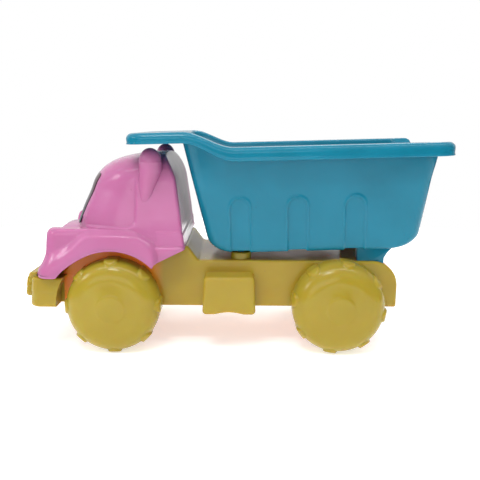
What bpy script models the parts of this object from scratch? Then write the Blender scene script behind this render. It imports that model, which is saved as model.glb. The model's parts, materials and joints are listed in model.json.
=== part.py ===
"""Toy dump truck for sand play: chassis shell, clip-on cab, tipping bed and four wheels on two steel axles.

Metres, +Z up. +X is the way the truck drives, +Y its left side. The origin lies on the ground, under the
middle of the truck's bounding box.
"""

import math

import bmesh
import bpy
from mathutils import Matrix, Vector

# ---- driving dimensions, metres -------------------------------------------------------------------------------
GAP = 0.0003                     # left between pieces that touch
FRAME_SHIFT = 0.0022             # brings the middle of the bounding box over the origin

AXLE_Z = 0.0294
FRONT_AXLE_X = 0.0719
REAR_AXLE_X = -0.0665
AXLE_RADIUS = 0.0015
AXLE_HALF = 0.0500
AXLE_HOLE_RADIUS = 0.0019

WHEEL_INNER_Y = 0.0368           # inner edge of the tread, from the truck's middle
WHEEL_WIDTH = 0.0187
WHEEL_RADIUS = 0.0294            # over the tread lugs
LUG_HEIGHT = 0.0014
LUG_COUNT = 8
WHEEL_PHASES = {"front": math.radians(-1.0), "rear": math.radians(9.5)}  # how far the wheels have rolled
LUG_WIDTH = 0.0096
LUG_REACH = 0.0120               # how far a lug runs outward from the inner edge
WHEEL_WALL = 0.0020
HUB_RADIUS = 0.0050
WHEEL_SIDES = 32

CHASSIS_HALF = 0.0350
CHASSIS_WALL = 0.0020
CHASSIS_REAR = -0.1045
CHASSIS_BOTTOM = 0.0264
CHASSIS_NOSE_BOTTOM = 0.0284
CHASSIS_NOSE = 0.1080
DECK_Z = 0.0560
DECK_END_RADIUS = 0.0160         # rounds the rear end of the deck, so the bed can tip past it
RAMP_FOOT_X = 0.0203
RAMP_TOP_X = 0.0270
PLATFORM_Z = 0.0650              # the cab clips on this
PLATFORM_END = 0.0980
STEP_MIDDLE_X = 0.0010
STEP_HALF_LENGTH = 0.0153
STEP_HALF_Y = 0.0500
STEP_TOP = 0.0488
STEP_BOTTOM = 0.0250
STEP_ARCH_RADIUS = 0.0235        # of the shallow arch under a step
STEP_ARCH_RISE = 0.0020
BUMPER_HALF = 0.0480
BUMPER_FRONT = 0.1225
BUMPER_REAR = 0.0960
BUMPER_TOP = 0.0465
NOSE_PANEL_HALF = 0.0420
NOSE_PANEL_FRONT = 0.1272
NOSE_PANEL_REAR = 0.1192
NOSE_PANEL_BOTTOM = 0.0338
NOSE_PANEL_TOP = 0.0488
NOSE_PANEL_DRAFT = 0.0018
REST_X = -0.0062                 # where the bed rests on the deck, at rest
REST_Y = 0.0260
REST_RADIUS = 0.0065

HINGE_X = -0.0907
HINGE_Z = 0.0500
HINGE_LUG_Y = (0.0260, 0.0320)
HINGE_PEG_RADIUS = 0.0025
HINGE_RIB_Y = (0.0212, 0.0246)
HINGE_SLOT_FRONT = -0.0780
BEARING_RADIUS = 0.0060          # of the ribs and bosses that hold the pegs and axles
BED_LEAN = math.radians(2.0)     # the bed rests with its rear end a little high

# The bed's own sizes are measured from its hinge axis, with its floor level.
BED_FLOOR = 0.0142
BED_RIM = 0.0792
BED_LIP = 0.0080
BED_WALL = 0.0022
BED_FRONT = 0.1028               # the front wall's outer face, carried down to the floor
BED_FRONT_DRAFT = 0.2105
BED_REAR = -0.0252
BED_REAR_DRAFT = 0.1600
BED_HALF = 0.0380
BED_SIDE_DRAFT = 0.1240
BED_CORNER = 0.0080
RIM_FRONT = 0.1498
RIM_REAR = -0.0432
RIM_HALF = 0.0540
RIM_CORNER = 0.0110
CANOPY_RISE = 0.0094
CANOPY_FOOT = 0.0865
CANOPY_SHOULDER = 0.1165
TAILGATE_DIP = 0.0040            # how much lower the rim is across the tail
TAILGATE_END = 0.0050            # the rim steps up to its side height over this length
GROOVES_X = (0.0145, 0.0493, 0.0841)
GROOVE_WIDTH = 0.0125
GROOVE_TOP = 0.0484
GROOVE_DEPTH = 0.0012

CAB_REAR = 0.0280
CAB_REAR_Z = 0.0660
CAB_REAR_LEAN = 0.1390
CAB_REAR_BENDS = ((0.1075, 0.35), (0.1175, 1.60))  # height and added lean where the rear wall turns into the roof
CAB_WALL = 0.0020
CABIN_SQUARENESS = 2.95         # of the superellipse round the cabin's nose
CABIN_REACH = 0.0460
CABIN_STATIONS = (               # height, front, half width
    (0.0560, 0.1030, 0.0456), (0.0760, 0.0990, 0.0456), (0.0870, 0.0951, 0.0443), (0.0980, 0.0901, 0.0430),
    (0.1045, 0.0876, 0.0420), (0.1085, 0.0850, 0.0410), (0.1113, 0.0826, 0.0400), (0.1136, 0.0796, 0.0388),
    (0.1156, 0.0762, 0.0373), (0.1174, 0.0718, 0.0354), (0.1188, 0.0665, 0.0334), (0.1200, 0.0600, 0.0302),
    (0.1209, 0.0530, 0.0245), (0.1215, 0.0460, 0.0150),
)
HOOD_FRONT = 0.1132
CAB_SKIRT_Z = 0.0470
CAB_SKIRT_FRONT = 0.1185
FENDER_HALF = 0.0496
FENDER_INNER = 0.0400
ARCH_RADIUS = 0.0345
BONNET_HALF = 0.0354
BONNET_FALL = 0.0043             # from the bonnet's middle to its sides, by the headlight pods
POD_INNER = 0.0345
POD_OUTER = 0.0457
POD_FRONT = 0.1131
POD_TOP = 0.0765
POD_BOTTOM = 0.0500
STACK_X = 0.0483
STACK_Y = 0.0415
STACK_RADIUS = 0.0062
STACK_TOP = 0.1250
STACK_FOOT = 0.0920
SCREEN_HALF = 0.0300
SCREEN_LOW = 0.0768
SCREEN_HIGH = 0.1080
SCREEN_STATIONS = (0.0870, 0.0980, 0.1045)
SCREEN_SINK = 0.0012             # depth of the windscreen's seat in the cab
CLIP_Y = 0.0220
CLIPS = (("rear", 0.0298, 0.0690, 0.0605), ("front", 0.1138, 0.0560, 0.0440))  # place, x, top, bottom


# ---- scene and small tools ------------------------------------------------------------------------------------
def clear_scene():
    for thing in list(bpy.data.objects):
        bpy.data.objects.remove(thing, do_unlink=True)


def new_collection(name):
    made = bpy.data.collections.new(name)
    bpy.context.scene.collection.children.link(made)
    return made


def plastic(name, colour, roughness=0.3, metallic=0.0):
    made = bpy.data.materials.new(name)
    made.use_nodes = True
    shader = made.node_tree.nodes["Principled BSDF"]
    shader.inputs["Base Color"].default_value = (*colour, 1.0)
    shader.inputs["Roughness"].default_value = roughness
    shader.inputs["Metallic"].default_value = metallic
    return made


def add_object(name, shape, collection):
    """Closes a bmesh into a new object, with its faces turned outward."""
    bmesh.ops.recalc_face_normals(shape, faces=shape.faces)
    mesh = bpy.data.meshes.new(name)
    shape.to_mesh(mesh)
    shape.free()
    made = bpy.data.objects.new(name, mesh)
    collection.objects.link(made)
    if collection is CUTTERS:
        made.hide_render = True
        made.display_type = "WIRE"
    else:
        made.parent = FRAME
    return made


def finish(part, material):
    part.data.materials.clear()
    part.data.materials.append(material)
    part.data.shade_smooth()
    part.data.set_sharp_from_angle(angle=math.radians(35))


def combine(part, tool, operation):
    step = part.modifiers.new(tool.name, "BOOLEAN")
    step.operation = operation
    step.object = tool
    tool.parent = part.parent


def cut(part, tool):
    combine(part, tool, "DIFFERENCE")


def join(part, tool):
    combine(part, tool, "UNION")


def box(name, low, high, collection):
    low, high = Vector(low), Vector(high)
    shape = bmesh.new()
    place = Matrix.Translation((low + high) / 2) @ Matrix.Diagonal((*(high - low), 1.0))
    bmesh.ops.create_cube(shape, size=1.0, matrix=place)
    return add_object(name, shape, collection)


def rod(name, centre, axis, radius, length, collection, sides=24):
    """A cylinder along a row axis, "X", "Y" or "Z"."""
    turn = {"X": Matrix.Rotation(math.pi / 2, 4, "Y"), "Y": Matrix.Rotation(-math.pi / 2, 4, "X"), "Z": Matrix()}
    shape = bmesh.new()
    bmesh.ops.create_cone(
        shape, cap_ends=True, segments=sides, radius1=radius, radius2=radius, depth=length,
        matrix=Matrix.Translation(centre) @ turn[axis],
    )
    return add_object(name, shape, collection)


def plate(name, outline, y_range, collection):
    """A flat outline of (x, z) points, pushed from one y to the other."""
    shape = bmesh.new()
    face = shape.faces.new([shape.verts.new((x, y_range[0], z)) for x, z in outline])
    pushed = bmesh.ops.extrude_face_region(shape, geom=[face])["geom"]
    moved = [item for item in pushed if isinstance(item, bmesh.types.BMVert)]
    bmesh.ops.translate(shape, verts=moved, vec=(0, y_range[1] - y_range[0], 0))
    return add_object(name, shape, collection)


def loft(name, rings, collection):
    """Skins a stack of rings that have equal numbers of points, and closes both ends."""
    shape = bmesh.new()
    loops = [[shape.verts.new(point) for point in ring] for ring in rings]
    count = len(loops[0])
    for lower, upper in zip(loops, loops[1:]):
        for i in range(count):
            j = (i + 1) % count
            shape.faces.new((lower[i], lower[j], upper[j], upper[i]))
    shape.faces.new(loops[0][::-1])
    shape.faces.new(loops[-1])
    return add_object(name, shape, collection)


def turned(name, profile, sides, collection):
    """A solid turned about local Z. The profile is (radius, z) points from the top of the axis to its foot."""
    shape = bmesh.new()
    points = [shape.verts.new((radius, 0, z)) for radius, z in profile]
    for first, second in zip(points, points[1:]):
        shape.edges.new((first, second))
    made = add_object(name, shape, collection)
    screw = made.modifiers.new("turn", "SCREW")
    screw.axis = "Z"
    screw.steps = screw.render_steps = sides
    screw.use_merge_vertices = True
    screw.merge_threshold = 0.00001
    return made


def bevel(part, width, segments=2, angle=40):
    step = part.modifiers.new("bevel", "BEVEL")
    step.width = width
    step.segments = segments
    step.limit_method = "ANGLE"
    step.angle_limit = math.radians(angle)
    step.harden_normals = False


def arc(centre, radius, start, end, steps):
    """Points on a circle in a flat outline, from one angle to the other, in degrees."""
    angles = [math.radians(start + (end - start) * i / steps) for i in range(steps + 1)]
    return [(centre[0] + radius * math.cos(a), centre[1] + radius * math.sin(a)) for a in angles]


def add_empty(name, place, parent=None):
    empty = bpy.data.objects.new(name, None)
    empty.location = place
    empty.parent = parent
    empty.empty_display_size = 0.01
    TRUCK.objects.link(empty)
    return empty


# ---- wheels and axles -----------------------------------------------------------------------------------------
def wheel_profile(grow=0.0):
    """The outside of a wheel from its face's middle to its inner edge. grow swells the tread and shoulder."""
    tread = WHEEL_RADIUS - LUG_HEIGHT
    face_radius = 0.0150
    face_height = WHEEL_WIDTH - 0.0012
    shoulder_foot = 0.0050
    points = [(0.0, WHEEL_WIDTH), (0.0075, WHEEL_WIDTH - 0.0003), (face_radius, face_height)]
    for degrees in (72, 54, 36, 18, 0):
        a = math.radians(degrees)
        radius = face_radius + (tread + grow - face_radius) * math.cos(a)
        height = shoulder_foot + (face_height + grow * 0.7 - shoulder_foot) * math.sin(a)
        points.append((radius, height))
    points.append((tread + grow, 0.0))
    return points


def wheel_mesh():
    """One wheel, its axle along local Z and its inner edge at local zero: a cup with a hub and tread lugs."""
    tread = WHEEL_RADIUS - LUG_HEIGHT
    inside = [
        (tread - WHEEL_WALL, 0.0), (tread - WHEEL_WALL, 0.0055), (tread - 0.0042, 0.0110),
        (0.0150, WHEEL_WIDTH - 0.0034), (HUB_RADIUS, WHEEL_WIDTH - 0.0030), (HUB_RADIUS, 0.0),
        (AXLE_RADIUS + GAP, 0.0), (AXLE_RADIUS + GAP, 0.0140), (0.0, 0.0140),
    ]
    body = turned("wheel_body", wheel_profile() + inside, WHEEL_SIDES, CUTTERS)
    swollen = wheel_profile(LUG_HEIGHT) + [(tread - WHEEL_WALL / 2, 0.0), (tread - WHEEL_WALL / 2, 0.0060)]
    blanks = turned("lug_blanks", swollen + [(0.0150, WHEEL_WIDTH - 0.0026), (0.0, WHEEL_WIDTH - 0.0026)],
                    WHEEL_SIDES, CUTTERS)
    bars = bmesh.new()
    for i in range(LUG_COUNT):
        turn = Matrix.Rotation(math.tau * i / LUG_COUNT, 4, "Z")
        half = LUG_WIDTH / 2
        outline = [(half, -0.001)] + arc((0.0, LUG_REACH - half), half, 0, 180, 6) + [(-half, -0.001)]
        ring = [bars.verts.new(turn @ Vector((0.0180, y, z))) for y, z in outline]
        pushed = bmesh.ops.extrude_face_region(bars, geom=[bars.faces.new(ring)])["geom"]
        moved = [item for item in pushed if isinstance(item, bmesh.types.BMVert)]
        bmesh.ops.translate(bars, verts=moved, vec=turn @ Vector((0.0140, 0, 0)))
    lugs = add_object("lug_bars", bars, CUTTERS)
    combine(lugs, blanks, "INTERSECT")
    join(body, lugs)
    bpy.context.view_layer.update()
    evaluated = body.evaluated_get(bpy.context.evaluated_depsgraph_get())
    mesh = bpy.data.meshes.new_from_object(evaluated)
    for tool in (body, lugs, blanks):
        bpy.data.objects.remove(tool, do_unlink=True)
    mesh.name = "wheel"
    return mesh


def add_wheelsets(yellow, steel):
    shared = wheel_mesh()
    for end, x in (("front", FRONT_AXLE_X), ("rear", REAR_AXLE_X)):
        axis = add_empty(f"{end}_axle_line", (x, 0, AXLE_Z), FRAME)
        axle = rod(f"{end}_axle", (0, 0, 0), "Y", AXLE_RADIUS, 2 * AXLE_HALF, TRUCK, sides=16)
        axle.parent = axis
        finish(axle, steel)
        for side, sign in (("left", 1), ("right", -1)):
            wheel = bpy.data.objects.new(f"{end}_{side}_wheel", shared)
            TRUCK.objects.link(wheel)
            wheel.parent = axis
            wheel.matrix_local = Matrix.Translation((0, sign * WHEEL_INNER_Y, 0)) @ Matrix.Rotation(
                -WHEEL_PHASES[end], 4, "Y") @ Matrix.Rotation(-sign * math.pi / 2, 4, "X")
            finish(wheel, yellow)


# ---- chassis --------------------------------------------------------------------------------------------------
def chassis_outline(inset=0.0, drop=0.0):
    """The chassis from the side, or the hollow inside it when inset by the wall and dropped through the bottom."""
    bottom, nose_bottom = CHASSIS_BOTTOM - drop, CHASSIS_NOSE_BOTTOM - drop
    end_centre = (CHASSIS_REAR + DECK_END_RADIUS, DECK_Z - DECK_END_RADIUS)
    outline = [(CHASSIS_NOSE - inset, nose_bottom), (CHASSIS_NOSE - inset, BUMPER_TOP - inset)]
    outline += [(PLATFORM_END + 0.004 - inset, BUMPER_TOP + 0.004 - inset), (PLATFORM_END - inset, PLATFORM_Z - inset)]
    outline += [(RAMP_TOP_X + inset, PLATFORM_Z - inset), (RAMP_FOOT_X + inset, DECK_Z - inset)]
    outline += arc(end_centre, DECK_END_RADIUS - inset, 90, 180, 8)
    outline += [(CHASSIS_REAR + inset, bottom), (0.0850, bottom), (0.0900, nose_bottom)]
    return outline


def add_chassis(yellow):
    chassis = plate("chassis", chassis_outline(), (-CHASSIS_HALF, CHASSIS_HALF), TRUCK)
    bevel(chassis, 0.0012)
    for side, sign in (("left", 1), ("right", -1)):
        near, far = sorted((sign * 0.0330, sign * STEP_HALF_Y))
        x0, x1 = STEP_MIDDLE_X - STEP_HALF_LENGTH, STEP_MIDDLE_X + STEP_HALF_LENGTH
        outer = [(x0 - 0.0010, STEP_BOTTOM), (x0, STEP_TOP), (x1, STEP_TOP), (x1 + 0.0010, STEP_BOTTOM)]
        step = plate(f"{side}_step", outer, (near, far), CUTTERS)
        bevel(step, 0.0020)
        join(chassis, step)
    bumper = plate("bumper", [
        (BUMPER_REAR, CHASSIS_NOSE_BOTTOM), (BUMPER_FRONT + 0.0010, CHASSIS_NOSE_BOTTOM + 0.0012),
        (BUMPER_FRONT - 0.0015, BUMPER_TOP), (BUMPER_REAR, BUMPER_TOP),
    ], (-BUMPER_HALF, BUMPER_HALF), CUTTERS)
    bevel(bumper, 0.0050, 4)
    join(chassis, bumper)
    panel = plate("nose_panel", [
        (NOSE_PANEL_REAR, NOSE_PANEL_BOTTOM), (NOSE_PANEL_FRONT, NOSE_PANEL_BOTTOM),
        (NOSE_PANEL_FRONT - NOSE_PANEL_DRAFT, NOSE_PANEL_TOP), (NOSE_PANEL_REAR, NOSE_PANEL_TOP),
    ], (-NOSE_PANEL_HALF, NOSE_PANEL_HALF), CUTTERS)
    bevel(panel, 0.0035, 3)
    join(chassis, panel)
    for side, sign in (("left", 1), ("right", -1)):
        join(chassis, rod(f"{side}_rest", (REST_X, sign * REST_Y, DECK_Z + 0.0010), "Z", REST_RADIUS, 0.0064, CUTTERS))

    hollow_half = CHASSIS_HALF - CHASSIS_WALL
    cut(chassis, plate("chassis_hollow", chassis_outline(CHASSIS_WALL, 0.010), (-hollow_half, hollow_half), CUTTERS))
    cut(chassis, box("bumper_hollow", (CHASSIS_NOSE + 0.0005, -BUMPER_HALF + 0.0025, 0.0200),
                     (BUMPER_FRONT - 0.0040, BUMPER_HALF - 0.0025, BUMPER_TOP - CHASSIS_WALL), CUTTERS))
    for side, sign in (("left", 1), ("right", -1)):
        near, far = sorted((sign * 0.0300, sign * (STEP_HALF_Y - CHASSIS_WALL)))
        inner = STEP_HALF_LENGTH - CHASSIS_WALL
        cut(chassis, box(f"{side}_step_hollow", (STEP_MIDDLE_X - inner, near, 0.0200),
                         (STEP_MIDDLE_X + inner, far, STEP_TOP - CHASSIS_WALL), CUTTERS))
        arch_middle = (STEP_MIDDLE_X, sign * STEP_HALF_Y, STEP_BOTTOM + STEP_ARCH_RISE - STEP_ARCH_RADIUS)
        cut(chassis, rod(f"{side}_step_arch", arch_middle, "Y", STEP_ARCH_RADIUS, 0.010, CUTTERS, sides=48))
        cut(chassis, rod(f"{side}_wheel_well", (FRONT_AXLE_X, sign * (CHASSIS_HALF + 0.0152), AXLE_Z), "Y",
                         ARCH_RADIUS, 0.030, CUTTERS, sides=48))
        add_hinge_support(chassis, side, sign)
        add_axle_supports(chassis, side, sign)
        for place, x, top, bottom in CLIPS:
            cut(chassis, box(f"{side}_{place}_clip_slot", (x - 0.0006, sign * CLIP_Y - 0.0035, bottom - 0.001),
                             (x + 0.0028, sign * CLIP_Y + 0.0035, top), CUTTERS))
        cut(chassis, rod(f"{side}_rest_dish", (REST_X, sign * REST_Y, DECK_Z + 0.0062), "Z", 0.0030, 0.0070, CUTTERS))
    finish(chassis, yellow)
    return chassis


def add_hinge_support(chassis, side, sign):
    """A rib with a hole for the bed's peg, and the slot in the deck that the bed's lug passes through."""
    low, high = HINGE_RIB_Y
    outline = [(HINGE_X - 0.0070, DECK_Z - 0.0010), (HINGE_X - 0.0070, HINGE_Z)]
    outline += arc((HINGE_X, HINGE_Z), BEARING_RADIUS, 180, 360, 8)
    outline += [(HINGE_X + 0.0080, HINGE_Z + 0.001), (HINGE_X + 0.0080, DECK_Z - 0.0010)]
    join(chassis, plate(f"{side}_hinge_rib", outline, sorted((sign * low, sign * high)), CUTTERS))
    middle = sign * (HINGE_LUG_Y[0] + HINGE_LUG_Y[1]) / 2
    half = (HINGE_LUG_Y[1] - HINGE_LUG_Y[0]) / 2 + 0.0007
    cut(chassis, box(f"{side}_hinge_slot", (CHASSIS_REAR - 0.010, middle - half, HINGE_Z - 0.0100),
                     (HINGE_SLOT_FRONT, middle + half, DECK_Z + 0.010), CUTTERS))
    cut(chassis, rod(f"{side}_hinge_hole", (HINGE_X, sign * (low + high) / 2, HINGE_Z), "Y",
                     HINGE_PEG_RADIUS + GAP, 0.010, CUTTERS, sides=32))


def add_axle_supports(chassis, side, sign):
    """Thickened bearings round the axle holes, reaching a little under the chassis."""
    for end, x in (("front", FRONT_AXLE_X), ("rear", REAR_AXLE_X)):
        middle = sign * (CHASSIS_HALF - 0.0030)
        outline = [(x + BEARING_RADIUS, AXLE_Z + BEARING_RADIUS), (x - BEARING_RADIUS, AXLE_Z + BEARING_RADIUS)]
        outline += arc((x, AXLE_Z), BEARING_RADIUS, 180, 360, 12)
        near, far = sorted((middle - 0.0030, middle + 0.0029))
        join(chassis, plate(f"{side}_{end}_bearing", outline, (near, far), CUTTERS))
        cut(chassis, rod(f"{side}_{end}_axle_hole", (x, middle, AXLE_Z), "Y", AXLE_HOLE_RADIUS, 0.012, CUTTERS))


# ---- tipping bed ----------------------------------------------------------------------------------------------
def bed_ring(front, rear, half, corner, z, lift=0.0, dip=0.0):
    """A rounded rectangle round the bed. lift raises its front part on to the canopy, dip lowers its tail."""
    flat = arc((front - corner, half - corner), corner, 0, 90, 5)
    stations = 7
    for i in range(stations):
        x = CANOPY_SHOULDER + (CANOPY_FOOT - CANOPY_SHOULDER) * i / (stations - 1)
        flat.append((min(x, front - corner - 0.0004 * (i + 1)), half))
    flat += arc((rear + corner, half - corner), corner, 90, 180, 5)
    flat.append((rear, half - corner - TAILGATE_END))
    both = flat + [(x, -y) for x, y in reversed(flat)]
    ring = []
    for x, y in both:
        t = min(max((x - CANOPY_FOOT) / (CANOPY_SHOULDER - CANOPY_FOOT), 0.0), 1.0)
        at_tail = x < 0.0 and abs(y) < half - corner - TAILGATE_END / 2
        ring.append((x, y, z + lift * t * t * (3 - 2 * t) - (dip if at_tail else 0.0)))
    return ring


def wall_ring(z, inset=0.0, shrink=(0.0, 0.0, 0.0), lift=0.0, dip=0.0):
    """A ring on the tub's drafted walls. shrink draws it in at the front, the rear and the sides."""
    rise = z - BED_FLOOR
    front = BED_FRONT + BED_FRONT_DRAFT * (rise + lift) - inset - shrink[0]
    rear = BED_REAR - BED_REAR_DRAFT * rise + inset + shrink[1]
    half = BED_HALF + BED_SIDE_DRAFT * rise - inset - shrink[2]
    return bed_ring(front, rear, half, BED_CORNER - inset / 2, z, lift, dip)


def bed_rings():
    """From the middle of the underside, up the walls, round the rolled rim and down to the inside of the floor."""
    fillet_height = 0.0100
    fillet = (0.0120, 0.0150, 0.0070)
    turns = [math.radians(90 * i / 4) for i in range(5)]

    def floor_rings(inset, floor):
        """The rounded foot of the walls, from the floor up."""
        rings = []
        for a in turns:
            drawn = tuple(reach * (1 - math.sin(a)) for reach in fillet)
            rings.append(wall_ring(floor + fillet_height * (1 - math.cos(a)), inset, drawn))
        return rings

    def rim_ring(drawn, z, drop=0.0, dip=TAILGATE_DIP):
        return bed_ring(RIM_FRONT - drawn, RIM_REAR + drawn, RIM_HALF - drawn, RIM_CORNER - drawn * 0.8, z,
                        CANOPY_RISE + drop, dip)

    rings = floor_rings(0.0, BED_FLOOR)
    rings.append(wall_ring(BED_RIM - 0.0092))
    rings.append(wall_ring(BED_RIM - 0.0020, lift=CANOPY_RISE, dip=TAILGATE_DIP))
    rings.append(rim_ring(0.0022, BED_RIM - 0.0028))
    rings.append(rim_ring(0.0018, BED_RIM - BED_LIP, 0.0016, 0.0))
    rings.append(rim_ring(0.0000, BED_RIM - BED_LIP, 0.0016, 0.0))
    for drawn, below in ((0.0004, 0.0028), (0.0012, 0.0009), (0.0030, 0.0000)):
        rings.append(rim_ring(drawn, BED_RIM - below))
    rings.append(wall_ring(BED_RIM, BED_WALL - 0.0012, lift=CANOPY_RISE, dip=TAILGATE_DIP))
    rings.append(wall_ring(BED_RIM - 0.0012, BED_WALL, lift=CANOPY_RISE, dip=TAILGATE_DIP))
    rings.append(wall_ring(BED_RIM - 0.0092, BED_WALL))
    rings += reversed(floor_rings(BED_WALL, BED_FLOOR + BED_WALL))
    return rings


def hinge_lug_outline():
    front_corner = arc((0.0050, 0.0), BEARING_RADIUS, 0, -90, 6)
    rear_corner = arc((0.0010, 0.0), BEARING_RADIUS, -90, -180, 6)
    return [(0.0115, BED_FLOOR + 0.0010)] + front_corner + rear_corner + [
        (-0.0055, 0.0076), (-0.0076, 0.0110), (-0.0110, BED_FLOOR), (-0.0110, BED_FLOOR + 0.0010)]


def add_bed(blue):
    hinge = add_empty("bed_hinge_line", (HINGE_X, 0, HINGE_Z), FRAME)
    hinge.rotation_euler = (0, BED_LEAN, 0)
    bed = loft("dump_bed", bed_rings(), TRUCK)
    bed.parent = hinge
    draft = math.atan(BED_SIDE_DRAFT)
    for side, sign in (("left", 1), ("right", -1)):
        for number, x in enumerate(GROOVES_X):
            half = GROOVE_WIDTH / 2
            outline = [(x + half, 0.0)] + arc((x, GROOVE_TOP - half), half, 0, 180, 10) + [(x - half, 0.0)]
            groove = plate(f"{side}_groove_{number}", outline, (0.0, sign * 0.030), CUTTERS)
            foot = BED_HALF - GROOVE_DEPTH - BED_SIDE_DRAFT * BED_FLOOR
            groove.location = (0, sign * foot, 0)
            groove.rotation_euler = (-sign * draft, 0, 0)
            cut(bed, groove)
        join(bed, plate(f"{side}_hinge_lug", hinge_lug_outline(), sorted((sign * HINGE_LUG_Y[0], sign * HINGE_LUG_Y[1])),
                        CUTTERS))
        peg_end = HINGE_RIB_Y[0] - 0.0006
        middle = sign * (peg_end + HINGE_LUG_Y[0] + 0.001) / 2
        join(bed, rod(f"{side}_hinge_peg", (0, middle, 0), "Y", HINGE_PEG_RADIUS, HINGE_LUG_Y[0] + 0.001 - peg_end,
                      CUTTERS))
        rest_x = (REST_X - HINGE_X) * math.cos(BED_LEAN) - (DECK_Z + 0.006 - HINGE_Z) * math.sin(BED_LEAN)
        foot_z = (REST_X - HINGE_X) * math.sin(BED_LEAN) + (DECK_Z + 0.0031 - HINGE_Z) * math.cos(BED_LEAN)
        top_z = BED_FLOOR + 0.0010
        join(bed, rod(f"{side}_rest_peg", (rest_x, sign * REST_Y, (foot_z + top_z) / 2), "Z", 0.0020, top_z - foot_z,
                      CUTTERS))
    finish(bed, blue)
    return bed


# ---- cab ------------------------------------------------------------------------------------------------------
def cabin_section(z):
    """(front, half width) of the upper cabin at a height, on curves through its windscreen and roof."""
    for (z0, front0, half0), (z1, front1, half1) in zip(CABIN_STATIONS, CABIN_STATIONS[1:]):
        if z <= z1 or z1 == CABIN_STATIONS[-1][0]:
            t = (z - z0) / (z1 - z0)
            return front0 + t * (front1 - front0), half0 + t * (half1 - half0)


def cab_rear(z):
    bends = sum(lean * max(z - height, 0.0) for height, lean in CAB_REAR_BENDS)
    return CAB_REAR + CAB_REAR_LEAN * max(z - CAB_REAR_Z, 0.0) + bends


def bulged_ring(front, rear, half, z, squareness, reach, corner=0.0025):
    """A plan outline whose nose is a superellipse and whose rear is square with rounded corners."""
    reach = min(reach, (front - rear) * 0.6)
    flat = []
    steps = 14
    for i in range(steps + 1):
        a = math.pi / 2 * i / steps
        flat.append((front - reach + reach * math.cos(a) ** (2 / squareness), half * math.sin(a) ** (2 / squareness)))
    corner = min(corner, half * 0.5)
    flat += arc((rear + corner, half - corner), corner, 90, 180, 4)
    return [(x, y, z) for x, y in flat] + [(x, -y, z) for x, y in reversed(flat[1:])]


def cabin_rings(inset=0.0, low=0.0560):
    rings = []
    for z in [low] + [station[0] for station in CABIN_STATIONS[1:]]:
        front, half = cabin_section(z)
        below = inset if z > 0.0761 else 0.0
        rings.append(bulged_ring(front - inset, cab_rear(z) + inset, half - inset, z - below, CABIN_SQUARENESS,
                                 CABIN_REACH))
    return rings


def body_rings(inset=0.0, low=CAB_SKIRT_Z - 0.004):
    """The bonnet and lower cab, up to the belt."""
    stations = ((low, 0.1187, 0.0470), (0.0500, CAB_SKIRT_FRONT, 0.0470), (0.0560, 0.1150, 0.0462),
                (0.0610, HOOD_FRONT, 0.0458), (0.0670, 0.1130, 0.0455), (0.0692, 0.1122, 0.0446),
                (0.0703, 0.1105, 0.0432), (0.0706, 0.1080, 0.0420))
    rings = []
    for z, front, half in stations:
        below = inset if z > 0.0680 else 0.0
        rings.append(bulged_ring(front - inset, cab_rear(z) + inset, half - inset, z - below, 2.4, 0.006))
    return rings


def fender_outline():
    """The wheel arch flare from the side, from its front tip over the wheel to its rear tip."""
    return [
        (0.1183, CAB_SKIRT_Z), (0.1140, 0.0585), (0.1031, 0.0648), (0.0970, 0.0676), (0.0890, 0.0748), (0.0830, 0.0764),
        (0.0640, 0.0764), (0.0560, 0.0742), (0.0480, 0.0699), (0.0446, 0.0665), (0.0430, 0.0560), (0.0472, 0.0553),
        (0.0719, CAB_SKIRT_Z),
    ]


def bonnet_outline():
    """The raised middle of the bonnet from the side: a rounded nose under a gently rising crown."""
    nose = arc((0.1075, 0.0695), 0.0050, 5, 80, 5)
    return [(0.0900, 0.0640), (0.1120, 0.0640)] + nose + [(0.0900, 0.0754)]


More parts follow.
